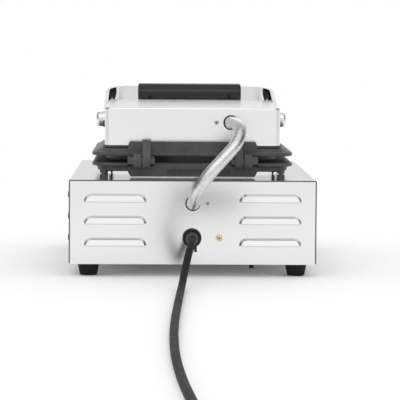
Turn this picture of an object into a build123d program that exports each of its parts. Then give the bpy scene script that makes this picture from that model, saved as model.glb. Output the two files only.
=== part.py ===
"""Heart waffle maker with a steel base, two cast plates and a hinged lid.

Millimetres, +Z up. The front faces -Y and the cord leaves at the back, +Y.
The origin lies on the floor under the middle of the appliance without its cord.
A "depth" is a distance forward from the rear face of the base, so a negative
depth lies behind the appliance. A "rise" is a height above the top of the base.
"""
import math
import os

from build123d import *

# Base housing
base_width = 305.0
base_depth = 400.0
base_height = 104.0
base_bend = 2.2
sheet = 1.0
seam = 0.3
panel_seam = 0.5
panel_recess = 0.5
panel_flange = 12.0
lip_width = 10.0
top_hole_width = 184.0
top_hole_depth = 196.0
top_hole_corner = 12.0
tray_inset = 1.0

# Louvres, pressed outwards and open below
louvre_width = 76.8
louvre_height = 10.4
louvre_reach = 4.2
louvre_slope = 2.6
louvre_corner = 10.0
louvre_face_corner = 7.4
louvre_pitch = 27.1
louvre_lowest = 22.6
louvre_count = 3
rear_louvre_x = 95.5
side_louvre_spacing = 190.0

# Feet
foot_height = 15.5
foot_top_radius = 13.8
foot_bottom_radius = 10.6
foot_edge_round = 1.4
foot_in_x = 23.5
foot_in_y = 25.0
foot_recess_radius = 6.5
foot_recess_depth = 8.0
foot_screw_radius = 2.5
foot_nut_flats = 8.0

# Tray under the base
tray_screw_radius = 2.0
tray_screw_head = 4.0
tray_screw_height = 2.2
tray_screw_length = 8.0
tray_screw_rows = (60.0, 200.0, 340.0)
tray_slot = (54.0, 5.0)
tray_slot_x = 60.0
tray_slot_pitch = 16.0
tray_slot_count = 9

# Cast plates, outline and levels above the base
plate_size = 252.0
plate_corner = 27.0
plate_depth = 38.0
rim_low_bottom = 14.4
rim_low_top = 19.0
rim_high_bottom = 27.2
rim_high_top = 32.3
lower_foot_rise = 7.4
upper_seat_rise = 40.1
shoulder_height = 8.0
shoulder_wall = 5.0
shoulder_gap = 0.8
casting_web = 7.5
land_radius = 111.0
land_gap = 0.3
under_wall_inset = 6.0
under_wall_rise = 13.4
under_wall_foot = 7.5
under_chamfer_rise = 9.0
under_inset = 12.0
rim_inset = 0.6
rim_round = 2.0
slope_inset = 9.0
slope_rise = 36.3
neck_inset = 15.0
seat_flange = 1.9
seat_ledge = 1.0

# Heart moulds
heart_count = 5
lobe_radius = 23.5
lobe_side = 20.5
lobe_distance = 70.0
mould_depth = 7.0
mould_draft = 1.2
centre_well_radius = 11.0
peg_pitch = 11.0
peg_base = 8.6
peg_top = 5.4
peg_height = 4.4
peg_margin = 0.6
gutter_inner = 101.0
gutter_width = 5.5
gutter_depth = 2.6

# Hinge
hinge_rise = 21.5
hinge_depth = 25.0
knuckle_radius = 9.3
hinge_bolt_radius = 4.0
running_gap = 0.05
ear_inner = 52.4
ear_width = 10.0
knuckle_gap = 1.4
knuckle_width = 9.6
bolt_across_flats = 11.0
bolt_head_height = 5.6
bolt_washer_radius = 6.4
bolt_washer_thickness = 1.8
bolt_nut_height = 4.0
bolt_tip = 1.0
hinge_block_half = 80.5
upper_block_chamfer = 2.1
upper_block_top = 45.3
ear_top_rise = 47.5
ear_root_depth = 37.0
lower_block_chamfer = 3.1
lower_block_bottom = 1.9
lower_block_length = 15.7
lug_overlap = 9.0
block_recess_depth = 3.0
block_recess_height = 6.0
block_recess_up = 3.1
block_recess_x = (-47.0, 31.5)

# Skirt under the lower plate and the studs that carry it
skirt_side_inset = 20.0
skirt_end_inset = 14.0
skirt_corner = 12.0
skirt_lip = 8.0
stud_side_inset = 14.8
stud_in = 13.5
stud_radius = 2.5
stud_boss_radius = 4.6
stud_boss_rise = 5.4
stud_below = 12.0
mount_nut = (8.0, 4.0)

# Lid housing
lid_side_inset = 16.0
lid_inset = 14.0
lid_height_rear = 47.6
lid_height_front = 51.0
lid_corner = 9.0
lid_edge = 2.6

# Strap handle and grip
strap_width = 22.0
strap_thickness = 4.5
strap_bend = 26.0
strap_gap = 0.3
handle_pivot_depth = 170.0
handle_pivot_rise = 68.5
grip_depth = 330.0
grip_rise = 97.0
grip_radius = 15.0
grip_length = 142.5
grip_round = 2.6
grip_screw_spacing = 110.0
grip_screw_radius = 1.8
grip_screw_head = 2.7
grip_recess_radius = 3.0
grip_recess_depth = 5.0
cap_radius = 9.75
cap_reach = 9.0
cap_round = 4.0
handle_stud_radius = 3.0
handle_nut = (10.0, 4.8)
bracket_thickness = 2.0
bracket_width = 30.0
bracket_height = 42.0
bracket_foot = 16.0
bracket_sleeve_radius = 6.0

# Conduit between base and lid
conduit_diameter = 15.8
conduit_bore = 12.6
conduit_base_rise = -28.6
conduit_lid_x = -47.8
conduit_lid_rise = 69.0
conduit_rib_pitch = 5.4
conduit_rib_height = 0.55
conduit_rear_reach = 45.5
ferrule_radius = 9.3
ferrule_sleeve = 8.7
ferrule_lip = 1.4
ferrule_gap = 0.3
clamp_length = 11.0
clamp_thickness = 1.6
clamp_screw_radius = 2.0
clamp_screw_head = 2.9
base_clamp_screw_x = -18.4
lid_clamp_screw_x = -29.8

# Cable gland, earth terminal and tray plug
gland_x = 1.0
gland_rise = -71.0
gland_radius = 11.75
gland_flange = 4.0
gland_sleeve_radius = 9.0
gland_boot_root = 8.6
gland_boot_tip = 5.6
gland_boot_length = 22.0
gland_nut_flats = 24.0
gland_nut_height = 5.0
gland_tongue = (3.2, 3.0, 8.0)
earth_x = -32.6
earth_washer_radius = 4.6
earth_screw_radius = 2.5
earth_head_radius = 3.2
earth_head_height = 2.4
earth_head_round = 1.2
earth_nut = (8.0, 4.0)
tray_plug_x = -73.0
tray_plug_radius = 3.2
tray_plug_drop = 5.0
tray_plug_in = 10.0

# Cord, coil and plug
cord_diameter = 9.0
coil_mean_radius = 45.0
coil_pitch = 9.8
coil_lift = 1.7
coil_layer_turns = 1.25
plug_length = 38.0
plug_width = 34.0
plug_round = 8.0
plug_neck_length = 24.0
blade = (1.5, 6.3, 17.5)
blade_spacing = 12.7
earth_pin_radius = 2.4
earth_pin_length = 20.5
earth_pin_drop = 7.0
coil_tie_width = 12.0
coil_tie_thickness = 1.2
coil_tie_gap = 0.4
coil_tie_play = 0.9

# Dials and lamps on the front panel
dial_in = 72.5
dial_rise = -56.0
knob_radius = 22.0
knob_skirt = 5.0
knob_height = 21.0
knob_wall = 3.0
knob_gap = 1.0
knob_grip_width = 11.0
knob_grip_round = 3.0
shaft_radius = 3.0
bush_radius = 5.0
bush_length = 6.0
shaft_flat = 0.8
timer_body_size = (54.0, 38.0, 50.0)
thermostat_body_size = (44.0, 32.0, 40.0)
lamp_spacing = 34.0
lamp_rise = -40.0
lamp_radius = 8.0
lamp_lens_radius = 5.6
lamp_dome = 3.0
lamp_body_length = 22.0

# Heating elements
element_radius = 4.0
element_loop = 64.0
element_tail = 88.0
element_legs = 15.0
element_bend = 12.0
element_pin_radius = 1.6
element_pin_length = 12.0
cover_radius = 84.0
cover_thickness = 1.2
cover_stud_radius = 4.0
cover_nut_flats = 13.0
cover_stud_length = 16.0
bulb_radius = 3.0
bulb_length = 70.0
bulb_x = 80.0
capillary_radius = 1.0

# Terminal block and inner wires
block_size = (52.0, 20.0, 16.0)
block_depth = 70.0
block_x = 60.0
wire_radius = 1.5
wire_lead = 14.0

# Places worked out from the sizes above
base_bottom = foot_height
base_top = base_bottom + base_height
shell_bottom = base_bottom + sheet
knob_reach = knob_gap + knob_height
base_rear = (base_depth + knob_reach - panel_recess - conduit_rear_reach) / 2
half_width = base_width / 2
dial_spacing = base_width - 2 * dial_in
panel_outer = panel_recess
panel_inner = panel_recess + sheet
plate_centre = plate_depth + plate_size / 2
land_level = (rim_low_top + rim_high_bottom) / 2
mould_floor_low = land_level - land_gap / 2 - mould_depth
mould_floor_high = land_level + land_gap / 2 + mould_depth
lid_width = plate_size - 2 * lid_side_inset
lid_depth_size = plate_size - 2 * lid_inset
skirt_width = plate_size - 2 * skirt_side_inset
skirt_depth_size = plate_size - 2 * skirt_end_inset
skirt_rear = plate_depth + skirt_end_inset
stud_x = plate_size / 2 - stud_side_inset
lower_block_rear = skirt_rear - seam - lower_block_length
lid_depth = plate_depth + lid_inset
lid_front = lid_depth + lid_depth_size
web_top = mould_floor_high + casting_web
coil_height = cord_diameter / 2 + coil_lift
coil_outer = coil_mean_radius + coil_pitch * coil_layer_turns / 2
plug_height = 2 * (coil_height + coil_pitch)
strap_inner = lid_width / 2 + strap_gap
strap_outer = strap_inner + strap_thickness
handle_slope = math.degrees(math.atan2(grip_rise - handle_pivot_rise, grip_depth - handle_pivot_depth))
handle_reach = math.hypot(grip_rise - handle_pivot_rise, grip_depth - handle_pivot_depth)
ear_outer = ear_inner + ear_width
knuckle_inner = ear_outer + knuckle_gap
knuckle_outer = knuckle_inner + knuckle_width

# Way of the conduit as (x, depth, rise), from inside the base to inside the lid
conduit_route = [
    (0, 6, conduit_base_rise),
    (0, -14, conduit_base_rise),
    (-2.5, -29, -19.5),
    (-9, -38, -3),
    (-22, -37, 14),
    (-38, -30, 30),
    (-52, -22, 45),
    (-58, -9, 59),
    (-56, 10, 68),
    (conduit_lid_x - 0.8, 30, conduit_lid_rise + 0.2),
    (conduit_lid_x, lid_depth + 6, conduit_lid_rise),
]

# Way of the cord as (x, depth, height above the floor), from the gland to the coil
cord_route = [
    (gland_x, -gland_flange - gland_boot_length, base_top + gland_rise),
    (gland_x, -52, base_top + gland_rise),
    (6.2, -80, 38),
    (11, -108, 20),
    (14.4, -138, 8.2),
    (16.4, -172, 4.9),
    (18.9, -232, 4.7),
    (21.5, -304, 4.8),
    (24.9, -400, 4.7),
    (27.2, -518, 4.8),
    (26.6, -645, 4.7),
    (21.5, -775, 4.8),
    (12.8, -904, coil_height),
    (3, -1028, coil_height),
]


def y_at(depth):
    """Y of a distance forward from the rear face of the base."""
    return base_rear - depth


def place(x, depth, rise):
    """Point at a depth from the rear face and a rise above the base."""
    return Vector(x, y_at(depth), base_top + rise)


def block(x_range, depth_range, z_range):
    """Box between two x, two depths and two heights above the floor."""
    width = x_range[1] - x_range[0]
    length = depth_range[1] - depth_range[0]
    height = z_range[1] - z_range[0]
    centre = (
        (x_range[0] + x_range[1]) / 2,
        y_at((depth_range[0] + depth_range[1]) / 2),
        (z_range[0] + z_range[1]) / 2,
    )
    return Pos(*centre) * Box(width, length, height)


def rod(radius, start, end):
    """Round bar between two points."""
    start = Vector(start)
    end = Vector(end)
    return Solid.make_cylinder(radius, (end - start).length, Plane(origin=start, z_dir=end - start))


def cone(radius_start, radius_end, start, end):
    """Tapered round bar between two points."""
    start = Vector(start)
    end = Vector(end)
    plane = Plane(origin=start, z_dir=end - start)
    return Solid.make_cone(radius_start, radius_end, (end - start).length, plane)


def hexagon_bar(across_flats, start, end):
    """Six-sided bar between two points, for nuts and bolt heads."""
    start = Vector(start)
    end = Vector(end)
    plane = Plane(origin=start, z_dir=end - start)
    outline = plane * RegularPolygon(across_flats / 2, 6, major_radius=False)
    return extrude(outline, (end - start).length)


def rounded_slab(width, length, corner, depth, low, high):
    """Upright prism on a rounded rectangle centred at a depth."""
    outline = Pos(0, y_at(depth), low) * RectangleRounded(width, length, corner)
    return extrude(outline, high - low)


def tapered_slab(low_size, high_size, depth, low, high):
    """Straight-sided frustum between two rounded rectangles (width, length, corner)."""
    bottom = Pos(0, y_at(depth), low) * RectangleRounded(*low_size)
    top = Pos(0, y_at(depth), high) * RectangleRounded(*high_size)
    return loft([bottom, top], ruled=True)


def mirrored(shape):
    """The shape and its copy on the other side of the middle plane."""
    return [shape, shape.mirror(Plane.YZ)]


def group(shapes):
    """Separate solids that share one node."""
    solids = []
    for shape in shapes:
        solids.extend(shape.solids())
    return Compound(children=solids)


def louvre_body(inset):
    """Louvre hood in front of the XZ plane, its open edge on Z = 0."""
    width = louvre_width - 2 * inset
    height = louvre_height - inset
    reach = louvre_reach - inset
    corner = louvre_corner - inset
    below = louvre_slope + corner
    foot = Pos(0, (height - below) / 2) * RectangleRounded(width, height + below, corner)
    face_height = height + below - 2 * louvre_slope
    face_width = width - 2 * louvre_slope
    face_shape = RectangleRounded(face_width, face_height, louvre_face_corner - inset)
    face = Pos(0, (height - below) / 2) * face_shape
    wall = Plane.XZ
    hood = loft([wall * foot, wall.offset(-reach) * face], ruled=True)
    keep = Pos(0, reach, height) * Box(width * 2, 4 * reach, 2 * height)
    return hood & keep


def add_louvres(panel, places):
    """Press a louvre into the panel at each location."""
    hood = louvre_body(0)
    hollow = louvre_body(sheet * 0.8)
    mouth = Pos(0, 0, louvre_height * 0.3) * Box(
        louvre_width - 4 * louvre_slope, 4 * sheet, louvre_height * 0.6
    )
    for where in places:
        panel = panel + where * hood
    for where in places:
        panel = panel - where * hollow - where * mouth
    return panel


def louvre_heights():
    """Height above the floor of each louvre's open edge."""
    return [base_bottom + louvre_lowest + louvre_pitch * row for row in range(louvre_count)]


def make_base_cover():
    """Folded top and sides, lips below, a hole for the heating parts, louvres."""
    outer = block((-half_width, half_width), (0, base_depth), (shell_bottom, base_top))
    outer = fillet(outer.edges().filter_by(Axis.Y).group_by(Axis.Z)[-1], base_bend)
    inside = block(
        (-half_width + sheet, half_width - sheet),
        (-sheet, base_depth + sheet),
        (shell_bottom - sheet, base_top - sheet),
    )
    inside = fillet(inside.edges().filter_by(Axis.Y).group_by(Axis.Z)[-1], base_bend - sheet)
    cover = outer - inside
    lip_start = panel_inner + panel_flange + sheet
    for side in (-1, 1):
        inner_edge = side * (half_width - lip_width)
        outer_edge = side * (half_width - sheet / 2)
        cover += block(
            (min(inner_edge, outer_edge), max(inner_edge, outer_edge)),
            (lip_start, base_depth - lip_start),
            (shell_bottom, shell_bottom + sheet),
        )
    cover -= rounded_slab(
        top_hole_width, top_hole_depth, top_hole_corner, plate_centre, base_top - 3 * sheet, base_top + sheet
    )
    for x, depth in stud_places():
        cover -= rod(stud_radius + 0.3, place(x, depth, -3 * sheet), place(x, depth, sheet))
    for x, depth in tray_screw_places():
        low = Vector(x, y_at(depth), shell_bottom - sheet)
        cover -= rod(tray_screw_radius + 0.2, low, low + Vector(0, 0, 4 * sheet))
    places = []
    for height in louvre_heights():
        for shift in (-0.5, 0.5):
            y = y_at(base_depth / 2) + shift * side_louvre_spacing
            places.append(Pos(half_width, y, height) * Rot(0, 0, -90))
            places.append(Pos(-half_width, y, height) * Rot(0, 0, 90))
    return add_louvres(cover, places)


def panel_pan(outer_depth, inner_direction):
    """Panel with four flanges turned into the base."""
    back = outer_depth + inner_direction * (sheet + panel_flange)
    width = half_width - sheet - panel_seam
    corner = base_bend - sheet
    depths = (min(outer_depth, back), max(outer_depth, back))
    pan = block((-width, width), depths, (shell_bottom, base_top - sheet - panel_seam))
    pan = fillet(pan.edges().filter_by(Axis.Y).group_by(Axis.Z)[-1], corner)
    hollow_start = outer_depth + inner_direction * sheet
    hollow_end = back + inner_direction * sheet
    depths = (min(hollow_start, hollow_end), max(hollow_start, hollow_end))
    hollow = block(
        (-width + sheet, width - sheet), depths, (shell_bottom + sheet, base_top - 2 * sheet - panel_seam)
    )
    return pan - hollow


def through_hole(panel, radius, x, depth, rise):
    """Round hole through a panel that faces front or back."""
    start = place(x, depth - 3 * sheet, rise)
    end = place(x, depth + 3 * sheet, rise)
    return panel - rod(radius, start, end)


def make_rear_panel():
    """Rear panel with louvres and the holes for conduit, gland, earth and screw."""
    panel = panel_pan(panel_outer, 1)
    places = []
    for height in louvre_heights():
        for x in (-rear_louvre_x, rear_louvre_x):
            places.append(Pos(x, y_at(panel_outer), height))
    panel = add_louvres(panel, places)
    middle = panel_outer + sheet / 2
    panel = through_hole(panel, ferrule_sleeve + 0.1, 0, middle, conduit_base_rise)
    panel = through_hole(panel, clamp_screw_radius + 0.1, base_clamp_screw_x, middle, conduit_base_rise)
    panel = through_hole(panel, gland_sleeve_radius + 0.1, gland_x, middle, gland_rise)
    panel = through_hole(panel, earth_screw_radius + 0.1, earth_x, middle, gland_rise)
    return panel - tray_plug_hole()


def make_front_panel():
    """Front panel with holes for the dials' bushes and the lamps."""
    panel = panel_pan(base_depth - panel_recess, -1)
    middle = base_depth - panel_recess - sheet / 2
    for side in (-1, 1):
        panel = through_hole(panel, bush_radius + 0.1, side * dial_spacing / 2, middle, dial_rise)
        panel = through_hole(panel, lamp_lens_radius + 1.1, side * lamp_spacing / 2, middle, lamp_rise)
    return panel


def tray_screw_places():
    """X and depth of each screw between tray and cover lips."""
    x = half_width - lip_width / 2 - sheet / 2
    return [(side * x, depth) for side in (-1, 1) for depth in tray_screw_rows]


def foot_places():
    """Name, x and depth of each foot."""
    x = half_width - foot_in_x
    return [
        ("rear_left", x, foot_in_y),
        ("rear_right", -x, foot_in_y),
        ("front_left", -x, base_depth - foot_in_y),
        ("front_right", x, base_depth - foot_in_y),
    ]


def tray_plug_hole():
    """Hole for the rubber plug through the tray and the rear panel's flange."""
    low = Vector(tray_plug_x, y_at(tray_plug_in), base_bottom - sheet)
    return rod(tray_plug_radius * 0.6 + 0.1, low, low + Vector(0, 0, 4 * sheet))


def make_base_tray():
    """Bottom sheet with rows of air slots."""
    tray = rounded_slab(
        base_width - 2 * tray_inset,
        base_depth - 2 * tray_inset,
        base_bend,
        base_depth / 2,
        base_bottom,
        shell_bottom,
    )
    slots = []
    first = base_depth / 2 - tray_slot_pitch * (tray_slot_count - 1) / 2
    for row in range(tray_slot_count):
        for side in (-1, 1):
            centre = Vector(side * tray_slot_x, y_at(first + row * tray_slot_pitch), base_bottom - sheet)
            slots.append(Pos(*centre) * extrude(SlotOverall(*tray_slot), 4 * sheet))
    tray = tray - slots
    for _, x, depth in foot_places():
        low = Vector(x, y_at(depth), base_bottom - sheet)
        tray -= rod(foot_screw_radius + 0.2, low, low + Vector(0, 0, 4 * sheet))
    for x, depth in tray_screw_places():
        low = Vector(x, y_at(depth), base_bottom - sheet)
        tray -= rod(tray_screw_radius + 0.2, low, low + Vector(0, 0, 4 * sheet))
    return tray - tray_plug_hole()


def make_foot(x, depth):
    """Tapered rubber foot with a recess for its screw."""
    axis = Vector(x, y_at(depth), 0)
    top = axis + Vector(0, 0, foot_height)
    foot = cone(foot_bottom_radius, foot_top_radius, axis, top)
    foot = fillet(foot.edges().group_by(Axis.Z)[0], foot_edge_round)
    foot -= rod(foot_recess_radius, axis - Vector(0, 0, 1), axis + Vector(0, 0, foot_recess_depth))
    return foot - rod(foot_screw_radius + 0.1, axis, top + Vector(0, 0, 1))


def make_foot_screws():
    """Screw in each foot, and its nut on the tray."""
    pieces = []
    for _, x, depth in foot_places():
        seat = Vector(x, y_at(depth), foot_recess_depth)
        nut_low = Vector(x, y_at(depth), shell_bottom)
        nut_high = nut_low + Vector(0, 0, 4)
        head = rod(foot_recess_radius - 1.5, seat - Vector(0, 0, 3), seat)
        pieces.append(head + rod(foot_screw_radius, seat, nut_high + Vector(0, 0, 2)))
        pieces.append(hexagon_bar(foot_nut_flats, nut_low, nut_high) - rod(foot_screw_radius, nut_low, nut_high))
    return group(pieces)


def make_tray_screws():
    """Screws that hold the tray to the lips of the cover."""
    pieces = []
    for x, depth in tray_screw_places():
        seat = Vector(x, y_at(depth), base_bottom)
        head = rod(tray_screw_head, seat - Vector(0, 0, tray_screw_height), seat)
        head = fillet(head.edges().group_by(Axis.Z)[0], tray_screw_height * 0.6)
        pieces.append(head + rod(tray_screw_radius, seat, seat + Vector(0, 0, tray_screw_length)))
    return group(pieces)


def make_tray_plug():
    """Rubber plug pushed through the tray and the flange above it."""
    seat = Vector(tray_plug_x, y_at(tray_plug_in), base_bottom)
    head = cone(tray_plug_radius * 0.85, tray_plug_radius, seat - Vector(0, 0, tray_plug_drop), seat)
    barb_low = seat + Vector(0, 0, 2 * sheet)
    stem = rod(tray_plug_radius * 0.6, seat, barb_low)
    return head + stem + cone(tray_plug_radius, tray_plug_radius * 0.5, barb_low, barb_low + Vector(0, 0, 4))


def stud_places():
    """X and depth of the four studs that carry the lower plate."""
    depths = (plate_depth + stud_in, plate_depth + plate_size - stud_in)
    return [(side * stud_x, depth) for side in (-1, 1) for depth in depths]


def make_lower_skirt():
    """Steel wall between base and lower plate, with a lip turned in below the plate."""
    low = base_top
    high = base_top + lower_foot_rise
    skirt = rounded_slab(skirt_width, skirt_depth_size, skirt_corner, plate_centre, low, high)
    skirt -= rounded_slab(
        skirt_width - 2 * sheet,
        skirt_depth_size - 2 * sheet,
        skirt_corner - sheet,
        plate_centre,
        low - sheet,
        high - sheet,
    )
    return skirt - rounded_slab(
        skirt_width - 2 * skirt_lip,
        skirt_depth_size - 2 * skirt_lip,
        skirt_corner - sheet,
        plate_centre,
        high - 2 * sheet,
        high + sheet,
    )


def heart_half_angle():
    """Angle between the middle of a heart and its straight side."""
    distance = math.hypot(lobe_side, lobe_distance)
    return math.atan2(lobe_side, lobe_distance) + math.asin(lobe_radius / distance)


def heart_face(inset):
    """Heart with its tip at the origin and its notch along +Y, drawn in by inset."""
    half_angle = heart_half_angle()
    radius = lobe_radius - inset
    tip = inset / math.sin(half_angle)
    meet = (lobe_side + radius * math.cos(half_angle), lobe_distance - radius * math.sin(half_angle))
    top = (lobe_side, lobe_distance + radius)
    notch = (0, lobe_distance + math.sqrt(radius**2 - lobe_side**2))
    left_meet = (-meet[0], meet[1])
    left_top = (-top[0], top[1])
    outline = [
        Line((0, tip), meet),
        ThreePointArc(meet, arc_middle(meet, notch, top, radius), notch),
        ThreePointArc(notch, arc_middle(left_meet, notch, left_top, radius), left_meet),
        Line(left_meet, (0, tip)),
    ]
    return make_face(Wire(outline).edges())


def arc_middle(start, end, top, radius):
    """Point on a lobe half way round from its side to the notch."""
    centre = (top[0], top[1] - radius)
    side = 1 if centre[0] > 0 else -1
    start_angle = math.atan2(start[1] - centre[1], side * (start[0] - centre[0]))
    end_angle = math.atan2(end[1] - centre[1], side * (end[0] - centre[0]))
    if end_angle < start_angle:
        end_angle += 2 * math.pi
    angle = (start_angle + end_angle) / 2
    return (centre[0] + side * radius * math.cos(angle), centre[1] + radius * math.sin(angle))


def inside_heart(x, y, margin):
    """Whether a point lies in the heart by at least the margin."""
    half_angle = heart_half_angle()
    x = abs(x)
    in_lobe = math.hypot(x - lobe_side, y - lobe_distance) < lobe_radius - margin
    side_gap = y * math.sin(half_angle) - x * math.cos(half_angle)
    in_body = y < lobe_distance and side_gap > margin and x < lobe_side + lobe_radius - margin
    far_side = x > lobe_side and not in_lobe and y > lobe_distance - lobe_radius * math.sin(half_angle)
    return in_lobe or (in_body and not far_side)


def peg_places():
    """Centres of the pegs in one heart, on a lattice turned by 45 degrees."""
    found = []
    step = peg_pitch / math.sqrt(2)
    reach = int((lobe_distance + lobe_radius) / step) + 1
    corner = peg_base / math.sqrt(2)
    for row in range(1, reach + 1):
        for column in range(-reach, reach + 1):
            if (row + column) % 2:
                continue
            x = column * step
            y = row * step
            corners = [(x + corner, y), (x - corner, y), (x, y + corner), (x, y - corner)]
            if y - corner > centre_well_radius and all(inside_heart(u, v, peg_margin) for u, v in corners):
                found.append((x, y))
    return found


def make_mould(level, direction):
    """Hollow of the five hearts below (or above) a level, with the pegs left standing."""
    floor = level - direction * mould_depth
    hollows = []
    pegs = []
    for number in range(heart_count):
        turn = Rot(0, 0, 360 / heart_count * number + 180)
        where = Pos(0, y_at(plate_centre), 0) * turn
        low = where * (Pos(0, 0, floor) * heart_face(mould_draft))
        high = where * (Pos(0, 0, level + direction * 0.01) * heart_face(0))
        hollows.append(loft([low, high], ruled=True))
        for x, y in peg_places():
            base = Pos(x, y, floor) * Rot(0, 0, 45) * Rectangle(peg_base, peg_base)
            top = Pos(x, y, floor + direction * peg_height) * Rot(0, 0, 45) * Rectangle(peg_top, peg_top)
            pegs.append(where * loft([base, top], ruled=True))
    centre = Vector(0, y_at(plate_centre), floor)
    well = rod(centre_well_radius, centre, centre + Vector(0, 0, direction * (mould_depth + 0.01)))
    hollow = hollows[0] + hollows[1:] + well
    return hollow - pegs


def gutter_ring(level, direction):
    """Ring groove that catches batter round the hearts."""
    centre = Vector(0, y_at(plate_centre), level + direction * 0.01)
    floor = centre - Vector(0, 0, direction * gutter_depth)
    outer = rod(gutter_inner + gutter_width, floor, centre)
    return outer - rod(gutter_inner, floor, centre)


def plate_outline(inset):
    """Width, length and corner of the plate's outline drawn in by inset."""
    return (plate_size - 2 * inset, plate_size - 2 * inset, max(plate_corner - inset, 4))


def stepped_slab(levels):
    """Straight-sided body through (inset, rise) levels of the plate's outline."""
    body = Part()
    for (low_inset, low), (high_inset, high) in zip(levels, levels[1:]):
        sizes = plate_outline(low_inset), plate_outline(high_inset)
        body += tapered_slab(*sizes, plate_centre, base_top + low, base_top + high)
    return body


def plate_rim(low, high):
    """Flat rim with softened upper and lower edges."""
    size = plate_outline(0)
    rim = rounded_slab(*size, plate_centre, base_top + low, base_top + high)
    return fillet(rim.edges().filter_by(Plane.XY), rim_round)


def tangent_lug(point_a, point_b, x_range):
    """Lug round the hinge axis, drawn tangent to it from two (depth, rise) points."""
    centre = (hinge_depth, hinge_rise)
    ends = []
    for point, turn in ((point_a, 1), (point_b, -1)):
        distance = math.hypot(point[0] - centre[0], point[1] - centre[1])
        bearing = math.atan2(point[1] - centre[1], point[0] - centre[0])
        swing = turn * math.acos(knuckle_radius / distance)
        angle = bearing + swing
        ends.append((centre[0] + knuckle_radius * math.cos(angle), centre[1] + knuckle_radius * math.sin(angle)))
    far = math.atan2(
        centre[1] - (point_a[1] + point_b[1]) / 2,
        centre[0] - (point_a[0] + point_b[0]) / 2,
    )
    crown = (centre[0] + knuckle_radius * math.cos(far), centre[1] + knuckle_radius * math.sin(far))

    def spot(point):
        return Vector(x_range[0], y_at(point[0]), base_top + point[1])

    outline = [
        Line(spot(point_a), spot(ends[0])),
        ThreePointArc(spot(ends[0]), spot(crown), spot(ends[1])),
        Line(spot(ends[1]), spot(point_b)),
        Line(spot(point_b), spot(point_a)),
    ]
    face = make_face(Wire(outline).edges())
    return extrude(face, x_range[1] - x_range[0], dir=(1, 0, 0))


def hinge_bore(shape, radius):
    """Bore on the hinge axis through the whole width."""
    reach = knuckle_outer + 2
    return shape - rod(radius, place(-reach, hinge_depth, hinge_rise), place(reach, hinge_depth, hinge_rise))


def rear_block(outline, depth_range):
    """Block behind a plate, drawn as (x, rise) points of its right half."""
    points = [(x, rise) for x, rise in outline] + [(-x, rise) for x, rise in reversed(outline)]
    corners = [place(x, depth_range[1], rise) for x, rise in points]
    face = make_face(Polyline(*corners, close=True).edges())
    return extrude(face, depth_range[1] - depth_range[0], dir=(0, 1, 0))


def make_lower_plate():
    """Lower casting: stepped underside, rim, land with heart moulds, hinge knuckles."""
    level = base_top + land_level - land_gap / 2
    levels = [
        (under_inset, lower_foot_rise),
        (under_wall_foot, under_chamfer_rise),
        (under_wall_inset, under_wall_rise),
        (rim_inset, rim_low_bottom + rim_round),
    ]
    casting = plate_rim(rim_low_bottom, rim_low_top) + stepped_slab(levels)
    centre = place(0, plate_centre, rim_low_top)
    casting += rod(land_radius, centre, Vector(centre.X, centre.Y, level))
    block_top = rim_low_top - 1
    outline = [
        (hinge_block_half - lower_block_chamfer, lower_block_bottom),
        (hinge_block_half, lower_foot_rise),
        (hinge_block_half, block_top),
    ]
    casting += rear_block(outline, (lower_block_rear, skirt_rear - seam))
    recess_low = base_top + lower_block_bottom + block_recess_up
    casting -= block(
        block_recess_x,
        (lower_block_rear - 1, lower_block_rear + block_recess_depth),
        (recess_low, recess_low + block_recess_height),
    )
    root = lower_block_rear + lug_overlap
    lug = tangent_lug((root, block_top), (root, hinge_rise - knuckle_radius), (knuckle_inner, knuckle_outer))
    casting += mirrored(lug)
    for x, depth in stud_places():
        casting += rod(stud_boss_radius, place(x, depth, stud_boss_rise), place(x, depth, rim_low_top - 2))
    casting -= make_mould(level, 1)
    casting -= gutter_ring(level, 1)
    for x, depth in stud_places():
        casting -= rod(stud_radius + 0.02, place(x, depth, 0), place(x, depth, stud_boss_rise + 7))
    return hinge_bore(casting, hinge_bolt_radius + 0.02)


def make_upper_plate():
    """Upper casting: land with heart moulds, rim, sloped shoulder, hinge ears."""
    level = base_top + land_level + land_gap / 2
    levels = [(rim_inset, rim_high_top - rim_round), (slope_inset, slope_rise)]
    casting = plate_rim(rim_high_bottom, rim_high_top) + stepped_slab(levels)
    neck_top = upper_seat_rise - seat_flange
    casting += stepped_slab([(neck_inset, slope_rise), (neck_inset, neck_top)])
    casting += stepped_slab([(lid_inset - seat_ledge, neck_top), (lid_inset - seat_ledge, upper_seat_rise)])
    centre = place(0, plate_centre, rim_high_bottom)
    casting += rod(land_radius, Vector(centre.X, centre.Y, level), centre)
    inner_width = lid_width - 2 * sheet - 2 * shoulder_gap
    inner_length = lid_depth_size - 2 * sheet - 2 * shoulder_gap
    shoulder_top = upper_seat_rise + shoulder_height
    casting += rounded_slab(
        inner_width, inner_length, lid_corner, plate_centre, base_top + upper_seat_rise, base_top + shoulder_top
    )
    casting -= rounded_slab(
        inner_width - 2 * shoulder_wall,
        inner_length - 2 * shoulder_wall,
        lid_corner,
        plate_centre,
        base_top + web_top,
        base_top + shoulder_top + 1,
    )
    block_outline = [
        (hinge_block_half, rim_high_top - 2),
        (hinge_block_half, upper_seat_rise),
        (hinge_block_half - upper_block_chamfer, upper_block_top),
    ]
    block_rear = plate_depth + 1
    casting += rear_block(block_outline, (block_rear, lid_depth - seam))
    root = (block_rear, rim_high_bottom + 1)
    lug = tangent_lug((ear_root_depth, ear_top_rise), root, (ear_inner, ear_outer))
    lug += block(
        (ear_inner, ear_outer),
        (ear_root_depth, lid_depth - seam),
        (base_top + rim_high_top - 1, base_top + ear_top_rise),
    )
    casting += mirrored(lug)
    casting -= make_mould(level, -1)
    casting -= gutter_ring(level, -1)
    return hinge_bore(casting, hinge_bolt_radius + running_gap)


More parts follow.
